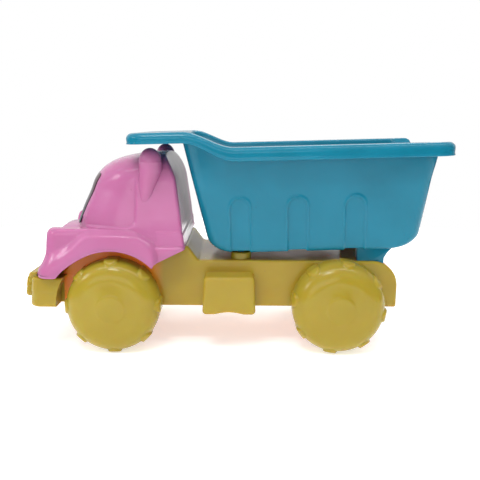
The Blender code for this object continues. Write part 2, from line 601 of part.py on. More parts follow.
def add_cab(pink):
    cab = loft("cab", body_rings(), TRUCK)
    join(cab, loft("cabin", cabin_rings(), CUTTERS))
    shares = [-1.0 + i / 6 for i in range(13)]
    join(cab, loft("bonnet_crown", [
        [(x, BONNET_HALF * share, z - BONNET_FALL * share * share) for x, z in bonnet_outline()] for share in shares
    ], CUTTERS))
    for side, sign in (("left", 1), ("right", -1)):
        near, far = sorted((sign * POD_INNER, sign * POD_OUTER))
        pod = box(f"{side}_headlight_pod", (0.0780, near, POD_BOTTOM), (POD_FRONT, far, POD_TOP), CUTTERS)
        bevel(pod, 0.0050, 4)
        join(cab, pod)
        fender = plate(f"{side}_fender", fender_outline(), sorted((sign * FENDER_INNER, sign * FENDER_HALF)), CUTTERS)
        bevel(fender, 0.0022, 3, 60)
        join(cab, fender)
        dome = [(0.0, STACK_TOP)]
        dome += [(STACK_RADIUS * math.cos(math.radians(a)), STACK_TOP - 0.0085 * (1 - math.sin(math.radians(a))))
                 for a in (72, 54, 36, 18, 0)]
        stack = turned(f"{side}_stack", dome + [(STACK_RADIUS, STACK_FOOT + 0.010), (0.0010, STACK_FOOT),
                                                (0.0, STACK_FOOT)], 24, CUTTERS)
        stack.location = (STACK_X, sign * STACK_Y, 0)
        join(cab, stack)

    cut(cab, loft("body_hollow", body_rings(CAB_WALL, 0.030), CUTTERS))
    cut(cab, loft("cabin_hollow", cabin_rings(CAB_WALL, 0.050), CUTTERS))
    low = 0.0100
    cut(cab, plate("cab_underside", [
        (0.0100, low), (0.1300, low), (0.1300, CAB_SKIRT_Z), (0.0719, CAB_SKIRT_Z), (0.0472, 0.0553),
        (0.0285, CAB_REAR_Z - 0.0005), (0.0100, CAB_REAR_Z - 0.0005),
    ], (-0.060, 0.060), CUTTERS))
    cut(cab, box("platform_space", (0.0100, -CHASSIS_HALF - GAP, low),
                 (PLATFORM_END + 0.002, CHASSIS_HALF + GAP, PLATFORM_Z + GAP), CUTTERS))
    for side, sign in (("left", 1), ("right", -1)):
        cut(cab, rod(f"{side}_arch_opening", (FRONT_AXLE_X, sign * 0.0512, AXLE_Z), "Y", ARCH_RADIUS, 0.030, CUTTERS,
                     sides=48))
        for place, x, top, bottom in CLIPS:
            join(cab, clip(f"{side}_{place}_clip", x, sign * CLIP_Y, top, bottom))
    cut(cab, screen_slab("windscreen_seat", GAP, SCREEN_SINK, 0.0020, CUTTERS))
    finish(cab, pink)
    return cab


def clip(name, x, y, top, bottom):
    """A snap tab that hangs from a wall of the cab into a slot of the chassis, with a barb at its foot."""
    outline = [(x, top), (x, bottom), (x + 0.0012, bottom), (x + 0.0020, bottom + 0.0015),
               (x + 0.0012, bottom + 0.0018), (x + 0.0012, top)]
    return plate(name, outline, (y - 0.0030, y + 0.0030), CUTTERS)


def screen_slab(name, margin, sink, proud, collection):
    """A curved slab that follows the windscreen, from sink inside the cabin's face to proud outside it."""
    rings = []
    low, high = SCREEN_LOW - margin, SCREEN_HIGH + margin
    for z in (low, *SCREEN_STATIONS, high):
        front, half = cabin_section(z)
        outer, inner = [], []
        for i in range(13):
            y = (SCREEN_HALF + margin) * (1 - 2 * i / 12)
            bulge = (1 - abs(y / half) ** CABIN_SQUARENESS) ** (1 / CABIN_SQUARENESS)
            x = front - CABIN_REACH * (1 - bulge)
            outer.append((x + proud, y, z))
            inner.append((x - sink, y, z))
        rings.append(outer + inner[::-1])
    return loft(name, rings, collection)


def add_windscreen(dark):
    finish(screen_slab("windscreen", 0.0, SCREEN_SINK - GAP, 0.0, TRUCK), dark)


def main():
    yellow = plastic("yellow plastic", (0.78, 0.62, 0.10), 0.28)
    pink = plastic("pink plastic", (0.80, 0.22, 0.48), 0.22)
    blue = plastic("blue plastic", (0.05, 0.42, 0.55), 0.25)
    dark = plastic("dark film", (0.02, 0.02, 0.03), 0.15)
    steel = plastic("axle steel", (0.60, 0.60, 0.60), 0.30, 1.0)
    add_chassis(yellow)
    add_cab(pink)
    add_windscreen(dark)
    add_bed(blue)
    add_wheelsets(yellow, steel)


clear_scene()
TRUCK = new_collection("toy dump truck")
CUTTERS = new_collection("cutters")
FRAME = add_empty("truck_frame", (FRAME_SHIFT, 0, 0))
main()
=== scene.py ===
"""Looks of the toy dump truck: moulded shells with soft edges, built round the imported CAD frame."""

import json
from math import cos, pi, radians, sin, sqrt, tau

import bmesh
import bpy
import numpy as np
from mathutils import Matrix, Vector


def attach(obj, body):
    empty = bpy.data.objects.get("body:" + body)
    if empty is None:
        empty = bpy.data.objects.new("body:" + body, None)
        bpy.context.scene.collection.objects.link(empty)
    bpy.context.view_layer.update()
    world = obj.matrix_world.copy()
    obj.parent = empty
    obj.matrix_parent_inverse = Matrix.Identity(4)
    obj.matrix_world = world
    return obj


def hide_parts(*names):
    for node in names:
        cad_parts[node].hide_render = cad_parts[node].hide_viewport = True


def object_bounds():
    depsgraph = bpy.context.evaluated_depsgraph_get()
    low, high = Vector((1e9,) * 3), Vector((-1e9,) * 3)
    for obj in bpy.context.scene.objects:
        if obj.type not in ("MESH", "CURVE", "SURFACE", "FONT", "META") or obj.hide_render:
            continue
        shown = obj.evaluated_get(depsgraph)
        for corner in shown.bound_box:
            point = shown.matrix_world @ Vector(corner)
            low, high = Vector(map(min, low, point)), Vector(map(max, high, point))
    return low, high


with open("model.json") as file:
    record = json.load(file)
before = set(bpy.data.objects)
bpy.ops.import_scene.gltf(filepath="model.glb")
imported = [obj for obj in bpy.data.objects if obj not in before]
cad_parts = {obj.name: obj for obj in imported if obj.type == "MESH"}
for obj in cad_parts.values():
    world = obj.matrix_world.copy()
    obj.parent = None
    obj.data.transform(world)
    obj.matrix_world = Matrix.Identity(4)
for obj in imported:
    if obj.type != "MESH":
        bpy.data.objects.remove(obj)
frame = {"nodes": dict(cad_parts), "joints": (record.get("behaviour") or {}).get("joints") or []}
CAD_LOW, CAD_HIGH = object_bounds()


def joint_place(name):
    """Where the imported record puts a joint."""
    return next(Vector(joint["pos_m"]) for joint in frame["joints"] if joint["name"] == name)


HINGE = joint_place("bed_tip")
FRONT_AXLE = joint_place("front_wheels_spin")
REAR_AXLE = joint_place("rear_wheels_spin")
AXLE_X = 0.0719  # the front axle in the part's own lengthwise measure
SHIFT = FRONT_AXLE.x - AXLE_X  # from that measure to the row frame

# ---- sizes, metres: those of the CAD part, which this file can't read ----
BED_LEAN = radians(2.0)
BED_FLOOR = 0.0142
BED_RIM = 0.0792
BED_LIP = 0.008
BED_WALL = 0.0022
RIM_THICKNESS = 0.0028
BED_FRONT, BED_FRONT_DRAFT = 0.1028, 0.2105
BED_REAR, BED_REAR_DRAFT = -0.0252, 0.16
BED_HALF, BED_SIDE_DRAFT = 0.038, 0.124
BED_CORNER = 0.008
RIM_FRONT, RIM_REAR, RIM_HALF, RIM_CORNER = 0.1498, -0.0432, 0.054, 0.011
CANOPY_RISE, CANOPY_FOOT, CANOPY_SHOULDER = 0.0094, 0.0865, 0.1165
TAILGATE_DIP = 0.004  # the rim is lower across the tail
TAILGATE_X, TAILGATE_Y = (0.027, 0.03), (0.044, 0.047)
FLOOR_FRONT_FILLET, FLOOR_REAR_FILLET, FLOOR_FILLET_HEIGHT = 0.012, 0.015, 0.01
GROOVES_X = (0.0145, 0.0493, 0.0841)
GROOVE_HALF, GROOVE_TOP, GROOVE_DEPTH = 0.0061, 0.0484, 0.0006
GROOVE_BEAD = 0.0005  # a fine raised line round each groove
SIDE_FILLET = 0.0024
REST_X, REST_Y = -0.0062, 0.026  # the two bosses that the lowered bed stands on

WHEEL_RADIUS, WHEEL_WIDTH, WHEEL_INNER_Y = 0.0294, 0.0187, 0.0368
LUG_COUNT, LUG_HEIGHT, LUG_WIDTH, LUG_REACH = 8, 0.0014, 0.0092, 0.014
TREAD_PROUD, SHOULDER_SQUARENESS = 0.0007, 2.35
WHEEL_TURNS = {"front": radians(-1.0), "rear": radians(9.5)}

MATERIALS = {}  # by material slot


# ---- mesh tools ----
MIRROR = np.array([1, -1, 1])  # to the other side of the truck
SIDES = (("left", 1), ("right", -1))


def smooth_step(value, low, high):
    """From 0 below low to 1 above high, without a corner."""
    t = np.clip((np.asarray(value, float) - low) / (high - low), 0.0, 1.0)
    return t * t * (3 - 2 * t)


def through(knots, values, at):
    """A smooth curve through given values, without overshoot between them."""
    knots, values = np.asarray(knots, float), np.asarray(values, float)
    steps = np.diff(knots)
    slopes = np.diff(values) / steps
    tangents = np.zeros_like(values)
    tangents[0], tangents[-1] = slopes[0], slopes[-1]
    for i in range(1, len(values) - 1):
        if slopes[i - 1] * slopes[i] > 0:
            w1, w2 = 2 * steps[i] + steps[i - 1], steps[i] + 2 * steps[i - 1]
            tangents[i] = (w1 + w2) / (w1 / slopes[i - 1] + w2 / slopes[i])
    at = np.asarray(at, float)
    i = np.clip(np.searchsorted(knots, at, side="right") - 1, 0, len(steps) - 1)
    t = np.clip((at - knots[i]) / steps[i], 0.0, 1.0)
    a, b = values[i], values[i + 1]
    ta, tb = tangents[i] * steps[i], tangents[i + 1] * steps[i]
    return ((2 * t**3 - 3 * t**2 + 1) * a + (t**3 - 2 * t**2 + t) * ta
            + (3 * t**2 - 2 * t**3) * b + (t**3 - t**2) * tb)


def outline_distance(x, z, outline):
    """Distance to a closed outline of (x, z) points: above zero inside it."""
    x, z = np.asarray(x, float), np.asarray(z, float)
    near = np.full(x.shape, 1e9)
    inside = np.zeros(x.shape, bool)
    points = list(outline)
    for (x0, z0), (x1, z1) in zip(points, points[1:] + points[:1]):
        dx, dz = x1 - x0, z1 - z0
        t = np.clip(((x - x0) * dx + (z - z0) * dz) / (dx * dx + dz * dz), 0, 1)
        near = np.minimum(near, np.hypot(x - x0 - t * dx, z - z0 - t * dz))
        if dz:
            crosses = ((z0 > z) != (z1 > z)) & (x < x0 + (z - z0) * dx / dz)
            inside ^= crosses
    return np.where(inside, near, -near)


def soft_outline(points, rounds=3):
    """An outline with its corners cut back and rounded, by repeated corner cutting."""
    for _ in range(rounds):
        cut = []
        for (x0, z0), (x1, z1) in zip(points, points[1:] + points[:1]):
            cut.append((x0 * 0.75 + x1 * 0.25, z0 * 0.75 + z1 * 0.25))
            cut.append((x0 * 0.25 + x1 * 0.75, z0 * 0.25 + z1 * 0.75))
        points = cut
    return points


def grid_mesh(name, rows, caps=(True, True), closed=True):
    """A mesh over rows of points. Each row closes on itself, and a cap is one face."""
    rows = np.array(rows, float)
    index = np.arange(rows.size // 3).reshape(rows.shape[:2])
    here, following = index, np.roll(index, -1, axis=1)
    if not closed:
        here, following = here[:, :-1], following[:, :-1]
    quads = np.stack([here[:-1], following[:-1], following[1:], here[1:]], axis=-1)
    faces = quads.reshape(-1, 4).tolist()
    faces += [index[0][::-1].tolist()] * caps[0] + [index[-1].tolist()] * caps[1]
    mesh = bpy.data.meshes.new(name)
    mesh.from_pydata(rows.reshape(-1, 3).tolist(), [], faces)
    return mesh


def tidy(mesh, sharp=38.0, merge=0.0):
    """Turns all faces outward and shades the mesh smooth but for its sharp edges."""
    shape = bmesh.new()
    shape.from_mesh(mesh)
    if merge:
        bmesh.ops.remove_doubles(shape, verts=shape.verts, dist=merge)
    bmesh.ops.recalc_face_normals(shape, faces=shape.faces)
    shape.to_mesh(mesh)
    shape.free()
    mesh.shade_smooth()
    mesh.set_sharp_from_angle(angle=radians(sharp))
    return mesh


def place(name, mesh, body, slot, replaces=()):
    """Puts a mesh in the scene as a piece that rides on a body."""
    piece = add_object(name, mesh)
    mesh.materials.append(MATERIALS[slot])
    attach(piece, body)
    if replaces:
        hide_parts(*replaces)
    return piece


def add_object(name, data):
    made = bpy.data.objects.new(name, data)
    bpy.context.scene.collection.objects.link(made)
    return made


def new_mesh(name, shape):
    """A mesh from a bmesh, which is used up."""
    mesh = bpy.data.meshes.new(name)
    shape.to_mesh(mesh)
    shape.free()
    return mesh


def arc(centre, radius, start, end, steps):
    """Points along an arc, from one angle in degrees to another."""
    angles = [radians(start + (end - start) * i / steps) for i in range(steps + 1)]
    return [(centre[0] + radius * cos(a), centre[1] + radius * sin(a)) for a in angles]


def quarter_turn(steps):
    """Angles from 0 to 90 degrees."""
    return [pi / 2 * i / steps for i in range(steps + 1)]


def drawn_in(distance, radius):
    """How far a rounded edge is drawn in at a distance from its end."""
    left = max(radius - distance, 0.0)
    return radius - sqrt(max(radius**2 - left**2, 0.0))


# ---- materials ----
class Nodes:
    """A node tree, with one short call for each kind of node used here."""

    def __init__(self, owner, coordinates="Object"):
        owner.use_nodes = True
        self.tree = owner.node_tree
        self.where = self.add("ShaderNodeTexCoord", {})[coordinates]

    def feed(self, inputs, given):
        """Links inputs to outputs, or sets them to numbers, vectors or colours."""
        for name, value in given.items():
            if isinstance(value, bpy.types.NodeSocket):
                self.tree.links.new(value, inputs[name])
            else:
                coloured = inputs[name].type == "RGBA"
                inputs[name].default_value = (*value, 1.0) if coloured else value

    def add(self, kind, given, **settings):
        """The outputs of a new node."""
        made = self.tree.nodes.new(kind)
        for key, value in settings.items():
            setattr(made, key, value)
        self.feed(made.inputs, given)
        return made.outputs

    def maths(self, operation, first, second=0.0):
        return self.add("ShaderNodeMath", {0: first, 1: second}, operation=operation)[0]

    def times(self, first, second):
        return self.maths("MULTIPLY", first, second)

    def plus(self, first, second):
        return self.maths("ADD", first, second)

    def most(self, first, second):
        return self.maths("MAXIMUM", first, second)

    def ramp(self, value, low, high):
        """From 0 below low to 1 above high."""
        given = {"Value": value, "From Min": low, "From Max": high}
        return self.add("ShaderNodeMapRange", given)["Result"]

    def fall(self, value, low, high):
        """From 1 below low to 0 above high."""
        return self.maths("SUBTRACT", 1.0, self.ramp(value, low, high))

    def mix(self, factor, first, second):
        return self.add("ShaderNodeMix", {0: factor, 6: first, 7: second}, data_type="RGBA")[2]

    def split(self):
        """The coordinates x, y and z."""
        return self.add("ShaderNodeSeparateXYZ", {0: self.where})

    def noise(self, scale, detail=2.0, roughness=0.5, stretch=(1, 1, 1), turn=(0, 0, 0)):
        mapping = {"Vector": self.where, "Scale": stretch, "Rotation": turn}
        given = {"Scale": scale, "Detail": detail, "Roughness": roughness}
        given["Vector"] = self.add("ShaderNodeMapping", mapping)[0]
        return self.add("ShaderNodeTexNoise", given)["Fac"]


def new_material(slot):
    """The nodes and the shader inputs of a new material."""
    MATERIALS[slot] = bpy.data.materials.new(slot)
    nodes = Nodes(MATERIALS[slot])
    return nodes, nodes.tree.nodes["Principled BSDF"].inputs


def painted_glow_mask(nodes):
    """1 on the hollow side of the chassis, where an orange glow is painted in for light through its
    thin walls.
    """
    hollow_y, arch_wall_y = (0.0338, 0.0344), (0.0355, 0.0362)
    deck_z, cab_x = (0.0535, 0.0548), (0.044, 0.056)
    middle_x, end_from_middle = 0.003, (0.103, 0.1036)
    x, y, z = nodes.split()
    sideways = nodes.maths("ABSOLUTE", y)
    under_deck = nodes.times(nodes.fall(sideways, *hollow_y), nodes.fall(z, *deck_z))
    under_cab = nodes.times(nodes.fall(sideways, *arch_wall_y), nodes.ramp(x, *cab_x))
    from_middle = nodes.maths("ABSOLUTE", nodes.maths("SUBTRACT", x, middle_x))
    return nodes.times(nodes.most(under_deck, under_cab), nodes.fall(from_middle, *end_from_middle))


def dirt(nodes, patches, specks):
    """Round dust specks, and fine grime that gathers in patches."""
    cells = nodes.add("ShaderNodeTexVoronoi", {"Scale": 160.0, "Vector": nodes.where}, feature="F1")
    dot = nodes.fall(cells["Distance"], 0.03, 0.07)
    lottery = nodes.add("ShaderNodeSeparateColor", {0: cells["Color"]})[0]
    chosen = nodes.maths("GREATER_THAN", lottery, 1.0 - 0.22 * specks)
    grime = nodes.ramp(nodes.noise(420.0, 3.0, 0.65), 0.66, 0.74)
    grime = nodes.times(grime, nodes.ramp(patches, 0.52, 0.66))
    return nodes.most(nodes.times(dot, chosen), nodes.times(grime, specks))


def scratches(nodes, patches):
    """Hairlines in two directions, where the plastic is worn."""
    directions = (((0.05, 1.0, 1.0), (0.3, 0.5, 0.2)), ((1.0, 1.0, 0.05), (0.2, 0.9, 0.6)))
    lines = [nodes.ramp(nodes.noise(900.0, 2.0, 0.6, *way), 0.7, 0.8) for way in directions]
    return nodes.times(nodes.most(*lines), nodes.ramp(patches, 0.44, 0.62))


def plastic(slot, colour, deep, scatter, roughness, specks, scuffs, weight, inner=None):
    """Moulded plastic: cloudy colour, dust specks, fine scuffs and a slightly wavy skin; given an
    inner colour, a painted glow on the chassis's hollow side for light through its thin walls.
    """
    nodes, shader = new_material(slot)
    base = nodes.mix(nodes.ramp(nodes.noise(38.0, 3.0, 0.55), 0.32, 0.7), deep, colour)
    # painted light: the hollow side of the chassis takes the inner colour, an orange glow painted in
    # for light through its thin walls
    if inner:
        base = nodes.mix(nodes.times(painted_glow_mask(nodes), 0.85), base, inner)
    patches = nodes.noise(22.0, 1.0)
    marks = dirt(nodes, patches, specks)
    mark_colour = tuple(c * 0.35 + 0.01 for c in deep)

    worn = scratches(nodes, patches)
    smudge = nodes.ramp(nodes.noise(30.0, 4.0, 0.6), 0.35, 0.75)
    rough = nodes.plus(roughness - 0.04, nodes.times(smudge, 0.1))
    rough = nodes.plus(rough, nodes.times(worn, 0.25 * scuffs))

    waves, grain = nodes.noise(60.0, 1.0, 0.4), nodes.noise(1500.0)
    height = nodes.plus(waves, nodes.times(grain, 0.012))
    height = nodes.maths("SUBTRACT", height, nodes.times(worn, 0.02 * scuffs))
    bump = nodes.add("ShaderNodeBump", {"Strength": 0.6, "Distance": 0.00022, "Height": height})
    nodes.feed(shader, {
        "Base Color": nodes.mix(nodes.times(marks, 0.55), base, mark_colour),
        "Roughness": nodes.plus(rough, nodes.times(marks, 0.2)),
        "Normal": bump[0], "IOR": 1.5, "Specular IOR Level": 0.26,
        "Subsurface Weight": weight, "Subsurface Radius": scatter, "Subsurface Scale": 0.007})


def film(slot):
    """The printed windscreen: from blue-black at its foot to red-black, with faint smears."""
    nodes, shader = new_material(slot)
    blue_black, red_black = (0.018, 0.03, 0.042), (0.045, 0.006, 0.016)
    smear = nodes.noise(90.0, 4.0, 0.6, stretch=(1.0, 0.4, 1.6))
    base = nodes.mix(nodes.ramp(nodes.split()["Z"], 0.078, 0.104), blue_black, red_black)
    smeared = nodes.times(nodes.ramp(smear, 0.5, 0.8), 0.2)
    nodes.feed(shader, {
        "Base Color": nodes.mix(smeared, base, (0.06, 0.07, 0.085)),
        "Roughness": nodes.plus(0.09, nodes.times(nodes.ramp(smear, 0.45, 0.75), 0.14)),
        "Specular IOR Level": 0.2})


def steel(slot):
    """Drawn wire rod, with fine lines along it."""
    nodes, shader = new_material(slot)
    bright, tarnished = (0.62, 0.62, 0.63), (0.42, 0.4, 0.38)
    lines = nodes.noise(3000.0, 2.0, 0.6, stretch=(1.0, 0.02, 1.0))
    tarnish = nodes.ramp(nodes.noise(120.0, 3.0), 0.4, 0.75)
    nodes.feed(shader, {"Base Color": nodes.mix(tarnish, bright, tarnished), "Metallic": 1.0,
                        "Roughness": nodes.plus(0.22, nodes.times(lines, 0.22))})


# ---- tipping bed ----
def side_stations(foot, head):
    """Places along a side wall, from its head to its foot, closer together across the grooves."""
    fine = [middle + GROOVE_HALF * share
            for middle in GROOVES_X for share in np.linspace(-1.32, 1.32, 31)]
    between = [(a + b) / 2 + (b - a) * share for a, b in zip(GROOVES_X, GROOVES_X[1:])
               for share in np.linspace(-0.28, 0.28, 9)]
    places = np.sort(np.array(fine + between))[::-1]
    for bound, pivot, beyond in ((head - 0.0008, 0.07, 1), (foot + 0.0008, 0.03, -1)):
        end = places[0] if beyond > 0 else places[-1]
        if (end - bound) * beyond > 0:
            moved = (places - pivot) * beyond > 0
            places[moved] = pivot + (places[moved] - pivot) * (bound - pivot) / (end - pivot)
    ahead = np.linspace(head, places[0], 24)[1:-1]
    behind = np.linspace(places[-1], foot, 16)[1:-1]
    return np.concatenate([ahead, places, behind])


def loop_plan(front, rear, half, corner):
    """Half of a rounded rectangle in plan, from its front's middle to its rear's middle."""
    face, turn, tail = 22, 12, 26
    plan = [(front, (half - corner) * i / face) for i in range(face)]
    plan += arc((front - corner, half - corner), corner, 0, 90, turn)
    plan += [(x, half) for x in side_stations(rear + corner, front - corner)]
    plan += arc((rear + corner, half - corner), corner, 90, 180, turn)
    plan += [(rear, (half - corner) * (1 - i / tail)) for i in range(1, tail + 1)]
    return np.array(plan)


def bed_row(front, rear, half, corner, z, lift=0.0, dip=0.0):
    """One row of the bed's skin in its own frame: the guard lifts its front, the tail dips."""
    plan = loop_plan(front, rear, half, corner)
    x, y = plan[:, 0], plan[:, 1]
    tail = smooth_step(-x, *TAILGATE_X) * (1 - smooth_step(y, *TAILGATE_Y))
    heights = z + lift * smooth_step(x, CANOPY_FOOT, CANOPY_SHOULDER) - dip * tail
    side = np.column_stack([x, y, heights])
    return np.vstack([side, side[-2:0:-1] * MIRROR])


def wall_sizes(z, inset=0.0, shrink=(0.0, 0.0, 0.0), lift=0.0):
    """Front, rear, half width and corner of the bed's tapering walls at a height."""
    rise = z - BED_FLOOR
    front = BED_FRONT + BED_FRONT_DRAFT * (rise + lift) - inset - shrink[0]
    rear = BED_REAR - BED_REAR_DRAFT * rise + inset + shrink[1]
    half = BED_HALF + BED_SIDE_DRAFT * rise - inset - shrink[2]
    return front, rear, half, BED_CORNER - inset / 2


def press_grooves(row, depth, bead=0.0, inset=0.0):
    """Presses the arched grooves into the sides of a row of the bed, with a bead round each."""
    wall_edge, groove_edge = (-0.0062, -0.0044), (-0.0002, 0.001)
    bead_out, bead_width = 0.0003, 0.00055
    foot_height, foot_lift = 0.003, 0.001
    x, y, z = row[:, 0], np.abs(row[:, 1]), row[:, 2]
    plane = BED_HALF + BED_SIDE_DRAFT * (z - BED_FLOOR) - inset
    on_side = smooth_step(y - plane, *wall_edge)
    pushed, lifted = np.zeros(len(x)), np.zeros(len(x))
    for middle in GROOVES_X:
        reach = np.hypot(x - middle, np.maximum(z - GROOVE_TOP + GROOVE_HALF, 0.0)) - GROOVE_HALF
        pushed = np.maximum(pushed, depth * smooth_step(-reach, *groove_edge))
        lifted = np.maximum(lifted, bead * np.exp(-((reach - bead_out) / bead_width) ** 2))
    row = row.copy()
    wanted = np.minimum(y, plane - pushed) + lifted
    row[:, 1] = np.sign(row[:, 1]) * (y + (wanted - y) * on_side)
    foot = np.clip(1 - (z - BED_FLOOR) / foot_height, 0, 1) if bead else 0.0
    row[:, 2] = z + foot_lift * foot * (pushed / depth) * on_side
    return row


def floor_rows(inset, floor):
    """Rows from the middle of the bed's floor out and up round the fillet at its foot."""
    fillets = (FLOOR_FRONT_FILLET, FLOOR_REAR_FILLET, SIDE_FILLET)
    front, rear, half, corner = wall_sizes(floor, inset, fillets)
    edge = bed_row(front, rear, half, corner, floor)
    middle = np.array([(front + rear) / 2, 0.0, floor])
    rows = [middle + (edge - middle) * share for share in (0.04, 0.35, 0.7, 0.93)]
    for a in quarter_turn(18):
        rise = FLOOR_FILLET_HEIGHT * (1 - cos(a))
        across = drawn_in(rise, SIDE_FILLET)
        along = 1 - sin(a)
        drawn = (FLOOR_FRONT_FILLET * along, FLOOR_REAR_FILLET * along, across)
        rows.append(bed_row(*wall_sizes(floor + rise, inset, drawn), floor + rise))
    return rows


def wall_rows(inset, low, high, count):
    """Rows up the bed's walls, with the guard's lift and the tail's dip growing towards the rim."""
    rows = []
    for z in np.linspace(low, high, count + 1)[1:]:
        lift = CANOPY_RISE * smooth_step(z, BED_RIM - 0.03, BED_RIM - 0.006)
        dip = TAILGATE_DIP * smooth_step(z, BED_RIM - 0.024, BED_RIM - 0.004)
        rows.append(bed_row(*wall_sizes(z, inset, lift=lift), z, lift, dip))
    return rows


def shelf_rows(first, second, steps):
    """Rows that cross from one plan to another: (share of the way, depth under the rim) steps."""
    rows = []
    for share, below in steps:
        sizes = [a + (b - a) * share for a, b in zip(first, second)]
        rows.append(bed_row(*sizes, BED_RIM - below, CANOPY_RISE, TAILGATE_DIP))
    return rows


def rim_row(drawn, below, more=0.0, inside=False):
    """A row of the rolled rim: how far in from its edge, how far under its top, and extra lift."""
    corner = max(RIM_CORNER - drawn * 0.8, 0.004)
    share = 1 - below / BED_LIP
    if inside:
        share = 1 - max(below - RIM_THICKNESS, 0.0) / (BED_LIP - RIM_THICKNESS)
    return bed_row(RIM_FRONT - drawn, RIM_REAR + drawn, RIM_HALF - drawn, corner, BED_RIM - below,
                   CANOPY_RISE + more, TAILGATE_DIP * share)


def rim_plan(inset, corner_inset):
    return RIM_FRONT - inset, RIM_REAR + inset, RIM_HALF - inset, RIM_CORNER - corner_inset


def bed_rows():
    """The bed's whole skin: floor, outer wall, under the rim, lip, roll, inner wall and floor."""
    wall_foot = BED_FLOOR + FLOOR_FILLET_HEIGHT
    outer = floor_rows(0.0, BED_FLOOR) + wall_rows(0.0, wall_foot, BED_RIM - 0.0042, 62)
    rows = [press_grooves(row, GROOVE_DEPTH, GROOVE_BEAD) for row in outer]

    under = RIM_THICKNESS
    wall_top = wall_sizes(BED_RIM - under, lift=CANOPY_RISE)
    rows += shelf_rows(wall_top, rim_plan(0.0024, 0.002), (
        (0.0, under + 0.0006), (0.04, under + 0.0002), (0.1, under), (0.45, under), (0.85, under)))
    for a in quarter_turn(4):
        turned_down = under + 0.0014 * (1 - cos(a))
        rows.append(rim_row(0.0024 - 0.0004 * sin(a), turned_down, inside=True))
    # (in from the edge, under the top, extra lift): down inside the lip, round the fine bead at
    # its foot, and up its face
    rows += [rim_row(0.002, 0.006, 0.0008, True), rim_row(0.0019, BED_LIP - 0.0004, 0.0014, True)]
    for drawn, below, more in (
        (0.0016, BED_LIP, 0.0016), (0.0006, BED_LIP, 0.0016),
        (0.0002, BED_LIP - 0.0002, 0.0016), (0.0001, BED_LIP - 0.0006, 0.0015),
        (0.0003, BED_LIP - 0.0011, 0.0014), (0.0004, BED_LIP - 0.002, 0.0011),
        (0.0003, 0.0046, 0.0003), (0.0002, 0.0036, 0.0),
    ):
        rows.append(rim_row(drawn, below, more))
    roll = 0.0034
    rows += [rim_row(0.0002 + roll * (1 - cos(a)), roll * (1 - sin(a))) for a in quarter_turn(14)]

    inner_edge = 0.0016
    inner_top = wall_sizes(BED_RIM, BED_WALL - inner_edge, lift=CANOPY_RISE)
    rows += shelf_rows(rim_plan(0.0035, 0.0028), inner_top, [(i * 0.3, 0.0001) for i in (1, 2, 3)])
    for a in quarter_turn(6):
        z = BED_RIM - inner_edge * (1 - cos(a))
        sizes = wall_sizes(z, BED_WALL - inner_edge * (1 - sin(a)), lift=CANOPY_RISE)
        rows.append(bed_row(*sizes, z, CANOPY_RISE, TAILGATE_DIP))
    inner = floor_rows(BED_WALL, BED_FLOOR + BED_WALL)
    inner += wall_rows(BED_WALL, wall_foot + BED_WALL, BED_RIM - 0.003, 32)
    rows += [press_grooves(row, GROOVE_DEPTH * 0.8, inset=BED_WALL) for row in reversed(inner)]
    return rows


def bed_frame():
    """The bed's own frame: at its hinge, leaning as the lowered bed leans."""
    return Matrix.Translation(HINGE) @ Matrix.Rotation(BED_LEAN, 4, "Y")


def plate(outline, y_range):
    """A flat outline of (x, z) points pushed from one y to the other."""
    shape = bmesh.new()
    face = shape.faces.new([shape.verts.new((x, y_range[0], z)) for x, z in outline])
    pushed = bmesh.ops.extrude_face_region(shape, geom=[face])["geom"]
    moved = [item for item in pushed if isinstance(item, bmesh.types.BMVert)]
    bmesh.ops.translate(shape, verts=moved, vec=(0, y_range[1] - y_range[0], 0))
    bmesh.ops.recalc_face_normals(shape, faces=shape.faces)
    return shape


def rounded(shape, width, segments=3, angle=40.0):
    """Rounds the edges of a bmesh that are sharper than an angle."""
    edges = [edge for edge in shape.edges
             if len(edge.link_faces) == 2 and edge.calc_face_angle(0) > radians(angle)]
    bmesh.ops.bevel(shape, geom=edges, offset=width, segments=segments, profile=0.5,
                    affect="EDGES", clamp_overlap=True)
    return shape


def place_solid(name, shape, body, slot):
    """Puts a bmesh in the scene as a piece."""
    place(name, tidy(new_mesh(name, shape)), body, slot)


def skin_loops(shape, loops):
    """Faces between each loop of vertices and the next. A loop of one vertex is a pole."""
    for lower, upper in zip(loops, loops[1:]):
        count = max(len(lower), len(upper))
        for i in range(count):
            ring = [loop[k % len(loop)] for loop, k in
                    ((lower, i), (lower, i + 1), (upper, i + 1), (upper, i))]
            corners = list(dict.fromkeys(ring))
            if len(corners) > 2:
                shape.faces.new(corners)


def turned(profile, matrix, sides):
    """A closed solid turned about local Z from (radius, z) points, first and last on the axis."""
    shape = bmesh.new()
    loops = []
    for radius, z in profile:
        angles = [tau * i / sides for i in range(sides)] if radius > 0 else [0.0]
        loops.append([shape.verts.new((radius * cos(a), radius * sin(a), z))
                      for a in angles])
    skin_loops(shape, loops)
    bmesh.ops.recalc_face_normals(shape, faces=shape.faces)
    shape.transform(matrix)
    return shape


